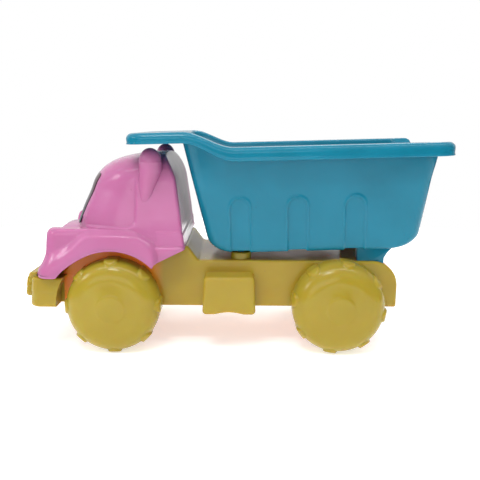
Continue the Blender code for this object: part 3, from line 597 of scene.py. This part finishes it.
def add_bed():
    mesh = grid_mesh("bed_shell", bed_rows())
    mesh.transform(bed_frame())
    place("bed_shell", tidy(mesh, 50.0), "bed", "blue_plastic", ["dump_bed"])
    lug_radius, lug_rear, lug_front = 0.006, -0.011, 0.0115
    lug_y, lug_edge = (0.026, 0.032), 0.0007
    peg_tip, peg_root, peg_radius = 0.0206, 0.0264, 0.0025
    head = BED_FLOOR + 0.0006  # lugs and rests run a little into the bed's floor
    lug_outline = [(lug_front, head), *arc((0.005, 0.0), lug_radius, 0, -90, 10),
                   *arc((0.001, 0.0), lug_radius, -90, -180, 10),
                   (-0.0055, 0.0076), (-0.0076, 0.011), (lug_rear, BED_FLOOR), (lug_rear, head)]
    peg_profile = [(0.0, peg_tip), (peg_radius - 0.0004, peg_tip), (peg_radius, peg_tip + 0.0005),
                   (peg_radius, peg_root), (0.0, peg_root)]
    for side, sign in SIDES:
        lug = rounded(plate(lug_outline, sorted(sign * y for y in lug_y)), lug_edge)
        lug.transform(bed_frame())
        place_solid(f"bed_lug_{side}", lug, "bed", "blue_plastic")
        sideways = Matrix.Rotation(-sign * pi / 2, 4, "X")
        peg = turned(peg_profile, bed_frame() @ sideways, 32)
        place_solid(f"bed_peg_{side}", peg, "bed", "blue_plastic")
        foot = bed_frame().inverted() @ Vector((REST_X + SHIFT, sign * REST_Y, 0.0591))
        rest_profile = [(0.0, foot.z), (0.0014, foot.z), (0.002, foot.z + 0.0006),
                        (0.002, BED_FLOOR - 0.0006), (0.0027, BED_FLOOR + 0.0002),
                        (0.0, BED_FLOOR + 0.0004)]
        rest = turned(rest_profile, bed_frame() @ Matrix.Translation((foot.x, foot.y, 0)), 32)
        place_solid(f"bed_rest_{side}", rest, "bed", "blue_plastic")


# ---- wheels ----
def wheel_profile():
    """(radius, height) points over a wheel and back through its hollow, and how many lie outside."""
    tread = WHEEL_RADIUS - TREAD_PROUD
    face_radius, face_height, foot = 0.015, WHEEL_WIDTH - 0.0012, 0.005
    # the face: (radius, depth under the wheel's full width), with a fine step at the hub ring
    ring = 0.0086  # the hub ring's radius
    face = ((0.0, 0.0), (0.004, 0.00005), (ring - 0.0014, 0.00015), (ring - 0.0006, 0.00022),
            (ring, 0.00034), (ring + 0.0006, 0.0005), (ring + 0.0014, 0.00062),
            (0.0122, 0.00088), (0.014, 0.00106))
    points = [(radius, WHEEL_WIDTH - depth) for radius, depth in face]
    power = 2 / SHOULDER_SQUARENESS
    for a in quarter_turn(36)[1:]:
        reach, rise = sin(a) ** power, cos(a) ** power
        points.append((face_radius + (tread - face_radius) * reach,
                       foot + (face_height - foot) * rise))
    points += [(tread, foot * (1 - i / 6)) for i in range(1, 6)]
    points += [(tread - 0.0001, 0.0004), (tread - 0.0005, 0.0)]
    outside = len(points)
    wall = tread - 0.002
    points += [(wall + 0.0004, 0.0), (wall, 0.0004), (wall, 0.0055), (wall - 0.001, 0.0088),
               (wall - 0.0026, 0.0112), (0.02, 0.0136), (0.015, WHEEL_WIDTH - 0.0034),
               (0.01, WHEEL_WIDTH - 0.0031), (0.0062, WHEEL_WIDTH - 0.0031),
               (0.0052, WHEEL_WIDTH - 0.004), (0.005, 0.01), (0.005, 0.0008),
               (0.0046, 0.0002), (0.0022, 0.0002), (0.0018, 0.0006), (0.0018, 0.014),
               (0.0, 0.014)]
    return np.array(points), outside


def wheel_mesh(name):
    """One wheel about local Z, open at local zero: a domed cup with eight rounded tread lugs."""
    sides, lug_foot, lug_grows, lug_slope = 320, 0.0006, (0.005, 0.01), 0.001
    profile, outside = wheel_profile()
    angles = np.arange(sides) * tau / sides
    steps = np.diff(profile, axis=0)
    tangent = np.vstack([steps[:1], (steps[1:] + steps[:-1]) / 2, steps[-1:]])
    tangent /= np.maximum(np.linalg.norm(tangent, axis=1, keepdims=True), 1e-9)
    pitch = tau / LUG_COUNT
    across = ((angles + pitch / 2) % pitch - pitch / 2) * (WHEEL_RADIUS - TREAD_PROUD)
    half = LUG_WIDTH / 2
    rows = []
    for i, (radius, height) in enumerate(profile):
        swell = np.zeros(sides)
        if i < outside and radius > 0.016:
            reach = np.hypot(across, np.maximum(height - (LUG_REACH - half), 0.0))
            proud = TREAD_PROUD + (LUG_HEIGHT - TREAD_PROUD) * smooth_step(height, *lug_grows)
            swell = proud * smooth_step(half - reach, 0.0, lug_slope)
            if height < lug_foot:
                swell = swell * (0.6 + 0.4 * height / lug_foot)
        out, up = -tangent[i, 1], tangent[i, 0]
        if out <= 0:
            out, up = -out, -up
        r = np.minimum(radius + swell * out, WHEEL_RADIUS)
        z = height + swell * max(up, 0.0) * 0.7
        rows.append(np.column_stack([r * np.cos(angles), r * np.sin(angles), z]))
    return tidy(grid_mesh(name, rows, caps=(False, False)), 45.0, merge=1e-7)


def add_wheels():
    mesh = wheel_mesh("wheel_left")
    for end, middle in (("front", FRONT_AXLE), ("rear", REAR_AXLE)):
        for side, sign in SIDES:
            own = mesh.copy()
            own.name = f"{end}_{side}_wheel_cup"
            own.transform(Matrix.Translation((middle.x, sign * WHEEL_INNER_Y, middle.z))
                          @ Matrix.Rotation(-WHEEL_TURNS[end], 4, "Y")
                          @ Matrix.Rotation(-sign * pi / 2, 4, "X"))
            place(own.name, own, f"{end}_wheelset", "yellow_plastic", [f"{end}_{side}_wheel"])


# ---- cab ----
CAB_HALF, FLARE_HALF, CAB_SHELL, CAB_TOP = 0.0456, 0.0496, 0.0018, 0.1216
ARCH_RADIUS = 0.0345
# the body's foot and top, and where the cabin's rows have become level
SKIRT_LOW, BELT, CABIN_LEVEL = 0.044, 0.0765, 0.0825
CABIN_SQUARENESS, CABIN_REACH = 2.95, 0.046
CABIN_STATIONS = (  # height, front, half width
    (0.056, 0.103, 0.0456), (0.076, 0.099, 0.0456), (0.087, 0.0951, 0.0443),
    (0.098, 0.0901, 0.043), (0.1045, 0.0876, 0.042), (0.1085, 0.085, 0.041),
    (0.1113, 0.0826, 0.04), (0.1136, 0.0796, 0.0388), (0.1156, 0.0762, 0.0373),
    (0.1174, 0.0718, 0.0354), (0.1188, 0.0665, 0.0334), (0.12, 0.06, 0.0302),
    (0.1209, 0.053, 0.0245), (0.1215, 0.046, 0.015),
)
CAB_TAIL, CAB_CORNER, CAB_SIDE, CAB_NOSE = 10, 5, 28, 92  # points of a row
CAB_BEND_X = 0.048  # ahead of this the points of a cab row are spread evenly
TAIL_END_X = 0.0472  # behind this the skirt rises to the rear corner
FLARE = [(0.122, 0.02), (0.1195, 0.047), (0.115, 0.0585), (0.1031, 0.065),
         (0.0965, 0.068), (0.089, 0.0752), (0.0835, 0.0766), (0.064, 0.0766),
         (0.056, 0.0746), (0.049, 0.0704), (0.0448, 0.0664), (0.0428, 0.06), (0.0424, 0.02)]
LOWER_PANEL = [(0.015, 0.02), (0.015, 0.0664), (0.07, 0.0664), (0.07, 0.02)]
WINDOW_REAR, WINDOW_FOOT, WINDOW_CORNER, WINDOW_DEPTH = 0.0565, 0.077, 0.0062, 0.0014
WINDOW = [(WINDOW_REAR, WINDOW_FOOT), (0.11, WINDOW_FOOT), (0.11, 0.125),
          (WINDOW_REAR, 0.125)]


def cab_rear(z):
    """Where the rear wall stands: it leans forward, and more so towards the roof."""
    return 0.028 + 0.139 * max(z - 0.066, 0.0) + 18.0 * max(z - 0.103, 0.0) ** 2


def cabin_sizes(z):
    heights, fronts, halves = zip(*CABIN_STATIONS)
    return float(through(heights, fronts, z)), float(through(heights, halves, z))


def cab_plan(front, rear, width, nose):
    """Half of a cab outline in plan, from the middle of its rear to the middle of its front."""
    edge = float(width(rear + 0.002))
    corner = min(0.002, edge * 0.4)
    plan = [(rear, (edge - corner) * i / CAB_TAIL) for i in range(CAB_TAIL)]
    plan += [(rear + corner - corner * cos(a), edge - corner + corner * sin(a))
             for a in quarter_turn(CAB_CORNER)[:-1]]
    bend = max(min(CAB_BEND_X, front - 0.4 * (front - rear)), rear + corner + 0.0001)
    for x in np.linspace(rear + corner, bend, CAB_SIDE + 1)[:-1]:
        plan.append((x, float(width(x))))
    return np.array(plan + nose(bend))


def even(points, count):
    """count + 1 points spread evenly along a line."""
    points = np.array(points)
    steps = np.linalg.norm(np.diff(points, axis=0), axis=1)
    along = np.concatenate([[0], np.cumsum(steps)])
    at = np.linspace(0, along[-1], count + 1)
    return list(zip(np.interp(at, along, points[:, 0]), np.interp(at, along, points[:, 1])))


def cabin_plan(z):
    front, half = cabin_sizes(z)
    start = front - CABIN_REACH
    power = 2 / CABIN_SQUARENESS

    def width(x):
        share = np.clip((x - start) / CABIN_REACH, 0.0, 1.0)
        return half * (1 - share**CABIN_SQUARENESS) ** (1 / CABIN_SQUARENESS)

    def nose(bend):
        line = [(start + CABIN_REACH * sin(a) ** power, half * cos(a) ** power)
                for a in quarter_turn(600)]
        ahead = [point for point in line if point[0] > bend + 1e-5]
        return even([(bend, float(width(bend))), *ahead], CAB_NOSE)

    return cab_plan(front, cab_rear(z), width, nose)


def body_plan(z):
    front = float(through((SKIRT_LOW, 0.05, 0.056, 0.061, 0.067, BELT),
                          (0.119, 0.1184, 0.1152, 0.1134, 0.1128, 0.1118), z))
    half = float(through((SKIRT_LOW, 0.056, 0.067, BELT), (0.047, 0.0462, 0.0458, CAB_HALF), z))

    def nose(bend):
        radius = 0.0075
        corner = arc((front - radius, half - radius), radius, 90, 0, 24)
        return even([(bend, half), *corner, (front, 0.0)], CAB_NOSE)

    return cab_plan(front, cab_rear(z), lambda x: half, nose)


def hood_height(x, y):
    """Top of the bonnet: a low crown between two headlight pods that run back into the belt."""
    y = np.abs(y)
    nose, crown_half = 0.1115, 0.031
    rise = 0.0034 + 0.0018 * np.clip((nose - x) / 0.0215, 0, 1)
    crown = 0.07 + rise * (1 - np.clip(y / crown_half, 0, 1) ** 2)
    pod = smooth_step(y, 0.0325, 0.0368)
    belt = smooth_step(-x, -0.086, -0.07)
    return (crown * (1 - pod) + BELT * pod) * (1 - belt) + BELT * belt


def bulge(x, z):
    """How far the side stands out: wheel arch flare, the panel behind it, step under the belt."""
    ahead = smooth_step(x, 0.09, 0.108)
    flare = outline_distance(x, z, soft_outline(FLARE, 5))
    share = np.clip(flare / (0.0042 + 0.005 * ahead), 0, 1)
    full, soft = np.sqrt(1 - (1 - share) ** 2), smooth_step(share, 0, 1)
    out = (0.55 * full + 0.45 * soft) * (1 - 0.45 * ahead) + 0.45 * soft * ahead
    depth = 0.0016
    inside = np.clip(outline_distance(x, z, LOWER_PANEL), 0, depth)
    panel = depth * np.sqrt(np.clip(1 - (1 - inside / depth) ** 2, 0, 1))
    behind = 1 - smooth_step(x, 0.044, 0.046)
    step = 0.00035 * smooth_step(-z, -0.0757, -0.0752) * behind
    return np.maximum(np.maximum((FLARE_HALF - CAB_HALF) * out, panel), step)


def window(x, z):
    """Depth of the side window's recess: open towards the windscreen, fading out under the roof."""
    x0, z0 = WINDOW_REAR + WINDOW_CORNER, WINDOW_FOOT + WINDOW_CORNER
    edge = np.minimum(outline_distance(x, z, WINDOW), WINDOW_CORNER)
    corner = WINDOW_CORNER - np.hypot(np.minimum(x - x0, 0.0), np.minimum(z - z0, 0.0))
    below_roof = 1 - smooth_step(z, 0.099, 0.111)
    return WINDOW_DEPTH * smooth_step(np.minimum(edge, corner), 0.0, 0.0013) * below_roof


def skirt_foot(x):
    """The cab's lower edge: level in front, round the wheel arch, then up to the rear corner."""
    level = np.where(x > TAIL_END_X, 0.047, 0.0553 + (TAIL_END_X - x) * (0.01 / 0.0192))
    behind = x - AXLE_X
    arch = WHEEL_RADIUS + np.sqrt(np.maximum(ARCH_RADIUS**2 - behind**2, 0.0))
    over_arch = (np.abs(behind) < ARCH_RADIUS) & (x > TAIL_END_X)
    return np.where(over_arch, np.maximum(level, arch), level)


def plan_normals(plan):
    """Which way each point of a half outline faces, outward."""
    step = np.gradient(plan, axis=0)
    normal = np.column_stack([step[:, 1], -step[:, 0]])
    outward = np.sign((normal * (plan - np.array([0.065, 0.0]))).sum(axis=1, keepdims=True))
    return normal * outward / np.maximum(np.linalg.norm(normal, axis=1, keepdims=True), 1e-9)


def facing_side(plan, power=1.5):
    """1 where an outline faces sideways, 0 where it faces ahead or back."""
    return np.clip(plan_normals(plan)[:, 1], 0, 1) ** power


def cab_row(plan, z, out):
    return np.column_stack([plan + plan_normals(plan) * np.reshape(out, (-1, 1)), z])


def body_rows():
    """Half rows from the skirt's foot up the body's sides and over the bonnet to the belt."""
    heights = np.linspace(SKIRT_LOW, BELT, 66)
    table = np.array([body_plan(float(z)) for z in heights])
    columns = np.arange(table.shape[1])

    def body_at(z):
        at = np.clip((z - heights[0]) / (heights[1] - heights[0]), 0, len(heights) - 1.0001)
        i = at.astype(int)
        t = (at - i)[:, None]
        return table[i, columns] * (1 - t) + table[i + 1, columns] * t

    edge_drop = 0.0046  # the rounding of the bonnet's edge
    plan = body_plan(0.0715)
    top = hood_height(plan[:, 0], plan[:, 1]) - edge_drop
    foot = np.minimum(skirt_foot(plan[:, 0]), top - 0.0012)
    start = 0.0006  # below this the skirt's foot is rounded: (inward, up)
    rounding = ((0.0011, 0.0003), (0.0008, 0.00008), (0.00045, 0.0), (0.00016, 0.00012),
                (0.00003, 0.00034))
    levels = [(foot + up, inward) for inward, up in rounding]
    levels += [(foot + start + (top - foot - start) * i / 40, 0.0) for i in range(1, 41)]
    rows = []
    for z, inward in levels:
        plan = body_at(z)
        rows.append(cab_row(plan, z, bulge(plan[:, 0], z) * facing_side(plan) - inward))

    edge, inner = body_at(top), cabin_plan(BELT)
    reach = np.linalg.norm(inner - edge, axis=1)
    shares = [(1 - cos(a)) * 0.35 for a in quarter_turn(13)[1:]]
    shares += [0.35 + 0.65 * i / 18 for i in range(1, 19)]
    for share in shares:
        plan = edge + (inner - edge) * share
        distance = reach * share
        left = edge_drop - np.clip(distance, 0, edge_drop)
        drop = edge_drop - np.sqrt(np.maximum(edge_drop**2 - left**2, 0))
        z = hood_height(plan[:, 0], plan[:, 1]) - drop
        still = np.clip(1 - distance / 0.004, 0, 1)
        out = bulge(edge[:, 0], np.minimum(z, top + 0.02)) * facing_side(plan) * still
        rows.append(cab_row(plan, z, out))
    return rows


def cabin_rows(start):
    """Half rows from the belt, at the heights in start, up the cabin and over its roof."""
    rows = []
    low, high = 0.105, CABIN_STATIONS[-1][0]
    for z in (*np.linspace(BELT, CABIN_LEVEL, 20)[1:], *np.linspace(CABIN_LEVEL, low, 34)[1:],
              *np.linspace(low, high, 38)[1:]):
        plan = cabin_plan(float(z))
        share = min((z - BELT) / (CABIN_LEVEL - BELT), 1.0)
        level = start + (CABIN_LEVEL - start) * share if share < 1 else np.full(len(start), z)
        sideways = facing_side(plan, 1)
        press = window(plan[:, 0], level) * smooth_step(sideways, 0.6, 0.9)
        out = bulge(plan[:, 0], level) * sideways * (level < BELT + 0.0003)
        rows.append(cab_row(plan, level, out - press))
    last = rows[-1]
    middle = np.array([last[:, 0].mean(), 0.0, CAB_TOP])
    for share in (0.3, 0.6, 0.85, 0.97):
        plan = last * (1 - share) + middle * share
        plan[:, 2] = last[:, 2] + (CAB_TOP - last[:, 2]) * sin(share * pi / 2)
        rows.append(plan)
    return rows


def add_cab():
    rows = body_rows()
    rows += cabin_rows(rows[-1][:, 2])
    for row in rows:
        row[0, 1] = row[-1, 1] = 0.0
    whole = [np.vstack([row, row[-2:0:-1] * MIRROR]) for row in rows]
    mesh = grid_mesh("cab_shell", whole, caps=(False, True))
    mesh.transform(Matrix.Translation((SHIFT, 0, 0)))
    piece = place("cab_shell", tidy(mesh, 60.0), "truck", "pink_plastic", ["cab"])
    thicken(piece, CAB_SHELL, -1.0)
    for side, sign in SIDES:
        add_stack(side, sign)


def thicken(piece, thickness, offset):
    skin = piece.modifiers.new("skin", "SOLIDIFY")
    skin.thickness = thickness
    skin.offset = offset


def add_stack(side, sign):
    """An exhaust stack: a dome over a fine seam, and a shaft that sinks into the cab's wall."""
    radius, top, seam, shaft_foot, tail = 0.0067, 0.1249, 0.1169, 0.111, 0.025
    centre_x, centre_y = 0.0484 + SHIFT, sign * 0.04
    profile = [(radius * sin(a), seam + (top - seam) * cos(a)) for a in quarter_turn(20)]
    profile += [(radius + 0.00012, seam - 0.0003), (radius, seam - 0.0006)]
    profile += [(radius, shaft_foot - tail * i / 24) for i in range(25)]
    profile.append((0.0, shaft_foot - tail))
    stack = turned(profile, Matrix.Translation((centre_x, centre_y, 0)), 72)
    front = centre_x + radius
    for vertex in stack.verts:
        # below the exposed part the shaft narrows towards its front edge and sinks into the wall
        drop = max(0.0, shaft_foot - vertex.co.z)
        share = min(drop / tail, 1.0)
        vertex.co.x = front - (front - vertex.co.x) * (1 - 0.72 * share)
        vertex.co.y = centre_y + (vertex.co.y - centre_y) * (1 - share) + sign * drop * 0.095
    place_solid(f"cab_stack_{side}", stack, "truck", "pink_plastic")


def add_windscreen():
    """A thin curved film on the front of the cabin, with rounded corners."""
    across, up, half_width, corner = 60, 40, 0.0284, 0.0034
    low, high = 0.0771, 0.1085
    grid = []
    for z in np.linspace(low, high, up + 1):
        front, half = cabin_sizes(z)
        width = half_width - drawn_in(min(z - low, high - z), corner)
        row = []
        for i in range(across + 1):
            y = width * (1 - 2 * i / across)
            bow = (1 - abs(y / half) ** CABIN_SQUARENESS) ** (1 / CABIN_SQUARENESS)
            row.append((front - CABIN_REACH * (1 - bow) + SHIFT, y, z))
        grid.append(row)
    mesh = grid_mesh("windscreen_film", grid, caps=(False, False), closed=False)
    piece = place("windscreen_film", tidy(mesh), "truck", "dark_film", ["windscreen"])
    thicken(piece, 0.0003, 0.4)


# ---- chassis ----
CHASSIS_HALF, CHASSIS_WALL = 0.035, 0.002
BUMPER_TOP = 0.0465
STEP_REAR, STEP_FRONT, STEP_TOP = -0.0143, 0.0163, 0.0488


def block(low, high):
    shape = bmesh.new()
    low, high = Vector(low), Vector(high)
    matrix = Matrix.Translation((low + high) / 2) @ Matrix.Diagonal((*(high - low), 1.0))
    bmesh.ops.create_cube(shape, size=1.0, matrix=matrix)
    return shape


def cylinder(centre, axis, radius, length, sides=64):
    turn = Matrix.Rotation(-pi / 2, 4, "X") if axis == "Y" else Matrix()
    shape = bmesh.new()
    bmesh.ops.create_cone(shape, cap_ends=True, segments=sides, radius1=radius, radius2=radius,
                          depth=length, matrix=Matrix.Translation(centre) @ turn)
    return shape


def chassis_outline(inset=0.0, drop=0.0):
    """The chassis from its side, or the hollow inside it, which opens downward."""
    bottom, nose_bottom = 0.0264 - drop, 0.0284 - drop
    nose, platform, end = 0.108 - inset, 0.098 - inset, -0.1045 + inset
    deck, top, tail_round = 0.056, 0.065 - inset, 0.016
    return [(nose, nose_bottom), (nose, BUMPER_TOP - inset),
            (platform + 0.004, BUMPER_TOP + 0.004 - inset), (platform, top),
            (0.027 + inset, top), (0.0203 + inset, deck - inset),
            *arc((end - inset + tail_round, deck - tail_round), tail_round - inset, 90, 180, 20),
            (end, bottom), (0.085, bottom), (0.09, nose_bottom)]


def bumper_block(rear, front, half, low, high, corner):
    """A bar with round front corners, a face that leans forward to its foot and a fine ridge."""
    foot_round, head_round, lean, step = 0.0026, 0.0009, 0.0022, 0.00035
    ridge = low + (high - low) * 0.52
    shape = bmesh.new()
    loops = []
    for i in range(25):
        t = i / 24
        z = low + (high - low) * t
        drawn = drawn_in(z - low, foot_round) + drawn_in(high - z, head_round)
        drawn += lean * t + (step if z < ridge else 0.0)
        ahead, wide = front - drawn, half - drawn * 0.6
        turn = max(corner - drawn, 0.0005)
        outline = [(rear, wide)] + arc((ahead - turn, wide - turn), turn, 90, 0, 10)
        outline += [(x, -y) for x, y in reversed(outline)]
        loops.append([shape.verts.new((x, y, z)) for x, y in outline])
    skin_loops(shape, loops)
    shape.faces.new(loops[0][::-1])
    shape.faces.new(loops[-1])
    bmesh.ops.recalc_face_normals(shape, faces=shape.faces)
    return shape


def add_chassis():
    """Joins and cuts the chassis out of simple solids, then rounds what edges are left."""
    outside = plate(chassis_outline(), (-CHASSIS_HALF, CHASSIS_HALF))
    body = add_object("chassis_body", new_mesh("chassis_body", rounded(outside, 0.0014, 4)))
    tools = []

    def combine(operation, shape):
        tool = add_object(f"tool_{len(tools)}", new_mesh("tool", shape))
        tools.append(tool)
        step = body.modifiers.new(tool.name, "BOOLEAN")
        step.operation = operation
        step.object = tool

    def join(shape):
        combine("UNION", shape)

    def cut(shape):
        combine("DIFFERENCE", shape)

    step = [(STEP_REAR - 0.001, 0.025), (STEP_REAR, STEP_TOP), (STEP_FRONT, STEP_TOP),
            (STEP_FRONT + 0.001, 0.025)]
    for _, sign in SIDES:
        join(rounded(plate(step, sorted((sign * 0.033, sign * 0.05))), 0.0024, 5))
    # bumper, its face panel, and the panel's raised top
    join(bumper_block(0.096, 0.1235, 0.048, 0.0284, BUMPER_TOP, 0.007))
    join(bumper_block(0.1, 0.1272, 0.042, 0.0338, 0.0462, 0.003))
    join(bumper_block(0.1192, 0.1257, 0.042, 0.042, 0.0488, 0.0026))
    for _, sign in SIDES:
        boss = cylinder((REST_X, sign * REST_Y, 0.057), "Z", 0.0065, 0.0064)
        join(rounded(boss, 0.0006, 3, 60))

    inside = CHASSIS_HALF - CHASSIS_WALL
    cut(rounded(plate(chassis_outline(CHASSIS_WALL, 0.01), (-inside, inside)), 0.001))
    cut(rounded(block((0.1085, -0.0455, 0.015), (0.1185, 0.0455, 0.0445)), 0.0015))
    hinge, hinge_z = HINGE.x - SHIFT, HINGE.z
    rib = [(hinge - 0.007, 0.055), (hinge - 0.007, hinge_z),
           *arc((hinge, hinge_z), 0.006, 180, 360, 20),
           (hinge + 0.008, hinge_z + 0.001), (hinge + 0.008, 0.055)]
    for _, sign in SIDES:
        near, far = sorted((sign * 0.03, sign * 0.048))
        cut(rounded(block((STEP_REAR + CHASSIS_WALL, near, 0.015),
                          (STEP_FRONT - CHASSIS_WALL, far, STEP_TOP - CHASSIS_WALL)), 0.0012))
        step_middle = (STEP_REAR + STEP_FRONT) / 2
        cut(cylinder((step_middle, sign * 0.05, 0.0035), "Y", 0.0235, 0.012, 128))
        cut(cylinder((AXLE_X, sign * 0.0502, WHEEL_RADIUS), "Y", ARCH_RADIUS, 0.03, 160))
        join(plate(rib, sorted((sign * 0.0212, sign * 0.0246))))
        slot_y = sign * 0.029
        cut(block((-0.1145, slot_y - 0.0037, hinge_z - 0.01), (-0.078, slot_y + 0.0037, 0.066)))
        cut(cylinder((hinge, sign * 0.0229, hinge_z), "Y", 0.0028, 0.01, 48))
        bearing_y = sign * 0.032
        for x in (AXLE_X, REAR_AXLE.x - SHIFT):
            bearing = [(x + 0.006, 0.0354), (x - 0.006, 0.0354),
                       *arc((x, WHEEL_RADIUS), 0.006, 180, 360, 28)]
            join(plate(bearing, (bearing_y - 0.003, bearing_y + 0.0029)))
            cut(cylinder((x, bearing_y, WHEEL_RADIUS), "Y", 0.0019, 0.012, 48))
        cut(cylinder((REST_X, sign * REST_Y, 0.0622), "Z", 0.003, 0.007, 48))

    bpy.context.view_layer.update()
    graph = bpy.context.evaluated_depsgraph_get()
    mesh = bpy.data.meshes.new_from_object(body.evaluated_get(graph))
    mesh.name = "chassis_shell"
    for thing in [body, *tools]:
        bpy.data.objects.remove(thing, do_unlink=True)
    mesh.transform(Matrix.Translation((SHIFT, 0, 0)))
    tidy(mesh, 30.0, merge=2e-6)
    piece = place("chassis_shell", mesh, "truck", "yellow_plastic", ["chassis"])
    soft = piece.modifiers.new("soft_edges", "BEVEL")
    soft.width = 0.00035
    soft.segments = 2
    soft.limit_method = "ANGLE"
    soft.angle_limit = radians(35)
    piece.modifiers.new("even_shading", "WEIGHTED_NORMAL").keep_sharp = True


def finish_axles():
    for name in ("front_axle", "rear_axle"):
        axle = frame["nodes"][name]
        axle.data.materials.clear()
        axle.data.materials.append(MATERIALS["axle_steel"])


# ---- room, light and camera ----
FLOOR_RADIUS = 0.5
WHITE, STUDIO_GREY = (1.0, 1.0, 1.0), (0.15, 0.15, 0.15)


def add_room():
    """A pale round floor, and a studio with a bright ceiling and a bright wall behind the truck."""
    nodes, shader = new_material("pale_floor")
    pale = nodes.mix(nodes.noise(6.0), (0.9, 0.9, 0.9), (0.94, 0.94, 0.94))
    nodes.feed(shader, {"Base Color": pale, "Roughness": 0.9, "Specular IOR Level": 0.1,
                        "Emission Color": WHITE, "Emission Strength": 0.5})
    shape = bmesh.new()
    bmesh.ops.create_circle(shape, cap_ends=True, segments=128, radius=FLOOR_RADIUS)
    floor = add_object("floor", new_mesh("floor", shape))
    floor.location = (0, 0, CAD_LOW.z)
    floor.data.materials.append(MATERIALS["pale_floor"])

    world = bpy.data.worlds.new("studio")
    bpy.context.scene.world = world
    nodes = Nodes(world, "Generated")
    _, y, z = nodes.split()
    wall = nodes.times(nodes.ramp(nodes.times(y, -1.0), 0.05, 0.6), nodes.ramp(z, -0.3, 0.2))
    studio = nodes.mix(nodes.most(wall, nodes.ramp(z, 0.15, 0.7)), STUDIO_GREY, WHITE)
    seen = nodes.add("ShaderNodeLightPath", {})["Is Camera Ray"]
    sky = nodes.tree.nodes["Background"].inputs
    nodes.feed(sky, {"Color": nodes.mix(seen, studio, WHITE), "Strength": 1.0})


def add_lights():
    middle, higher = Vector((0.0, 0.0, 0.06)), Vector((0.0, 0.0, 0.08))
    for name, place_at, target, size, power in (
        ("key", (0.16, 0.5, 0.8), middle, (0.24, 0.12), 2.0),
        ("strip", (0.0, 0.3, 0.9), middle, (1.4, 0.09), 3.0),
        ("fill", (0.25, 1.1, 0.28), middle, (0.9, 0.4), 2.6),
        ("front", (0.7, 0.3, 0.45), middle, (0.18, 0.18), 0.9),
        ("back", (-0.2, -0.6, 0.7), higher, (0.4, 0.2), 1.0),
    ):
        data = bpy.data.lights.new(name, "AREA")
        data.shape = "RECTANGLE"
        data.size, data.size_y = size
        data.energy = power
        light = add_object(name, data)
        light.location = place_at
        light.rotation_euler = (target - Vector(place_at)).to_track_quat("-Z", "Y").to_euler()


def add_camera():
    """The photograph's viewing angle: from the truck's left, a little above it."""
    yaw, pitch, roll = radians(0.47745), radians(10.9422), radians(0.6)
    data = bpy.data.cameras.new("camera")
    data.lens = 45.0
    data.clip_start, data.clip_end = 0.01, 50.0
    camera = add_object("camera", data)
    camera.matrix_world = (
        Matrix.Translation((-0.0002, 0.399, 0.1393)) @ Matrix.Rotation(pi - yaw, 4, "Z")
        @ Matrix.Rotation(pi / 2 - pitch, 4, "X") @ Matrix.Rotation(roll, 4, "Z"))
    bpy.context.scene.camera = camera


def main():
    bpy.context.scene.view_settings.view_transform = "Standard"
    # the yellow's inner colour is the orange of a glow painted on the chassis's hollow side, for
    # light through its thin walls
    plastic("yellow_plastic", colour=(0.35, 0.266, 0.028), deep=(0.322, 0.238, 0.022),
            scatter=(1.0, 0.42, 0.06), roughness=0.18, specks=0.9, scuffs=0.03, weight=0.55,
            inner=(0.9, 0.27, 0.03))
    plastic("pink_plastic", colour=(0.46, 0.15, 0.312), deep=(0.435, 0.134, 0.282),
            scatter=(1.0, 0.35, 0.6), roughness=0.16, specks=0.5, scuffs=0.05, weight=0.35)
    plastic("blue_plastic", colour=(0.007, 0.19, 0.285), deep=(0.005, 0.165, 0.247),
            scatter=(0.15, 0.7, 1.0), roughness=0.16, specks=0.9, scuffs=0.05, weight=0.25)
    film("dark_film")
    steel("axle_steel")
    add_bed()
    add_wheels()
    add_cab()
    add_windscreen()
    add_chassis()
    finish_axles()
    add_room()
    add_lights()
    add_camera()


main()
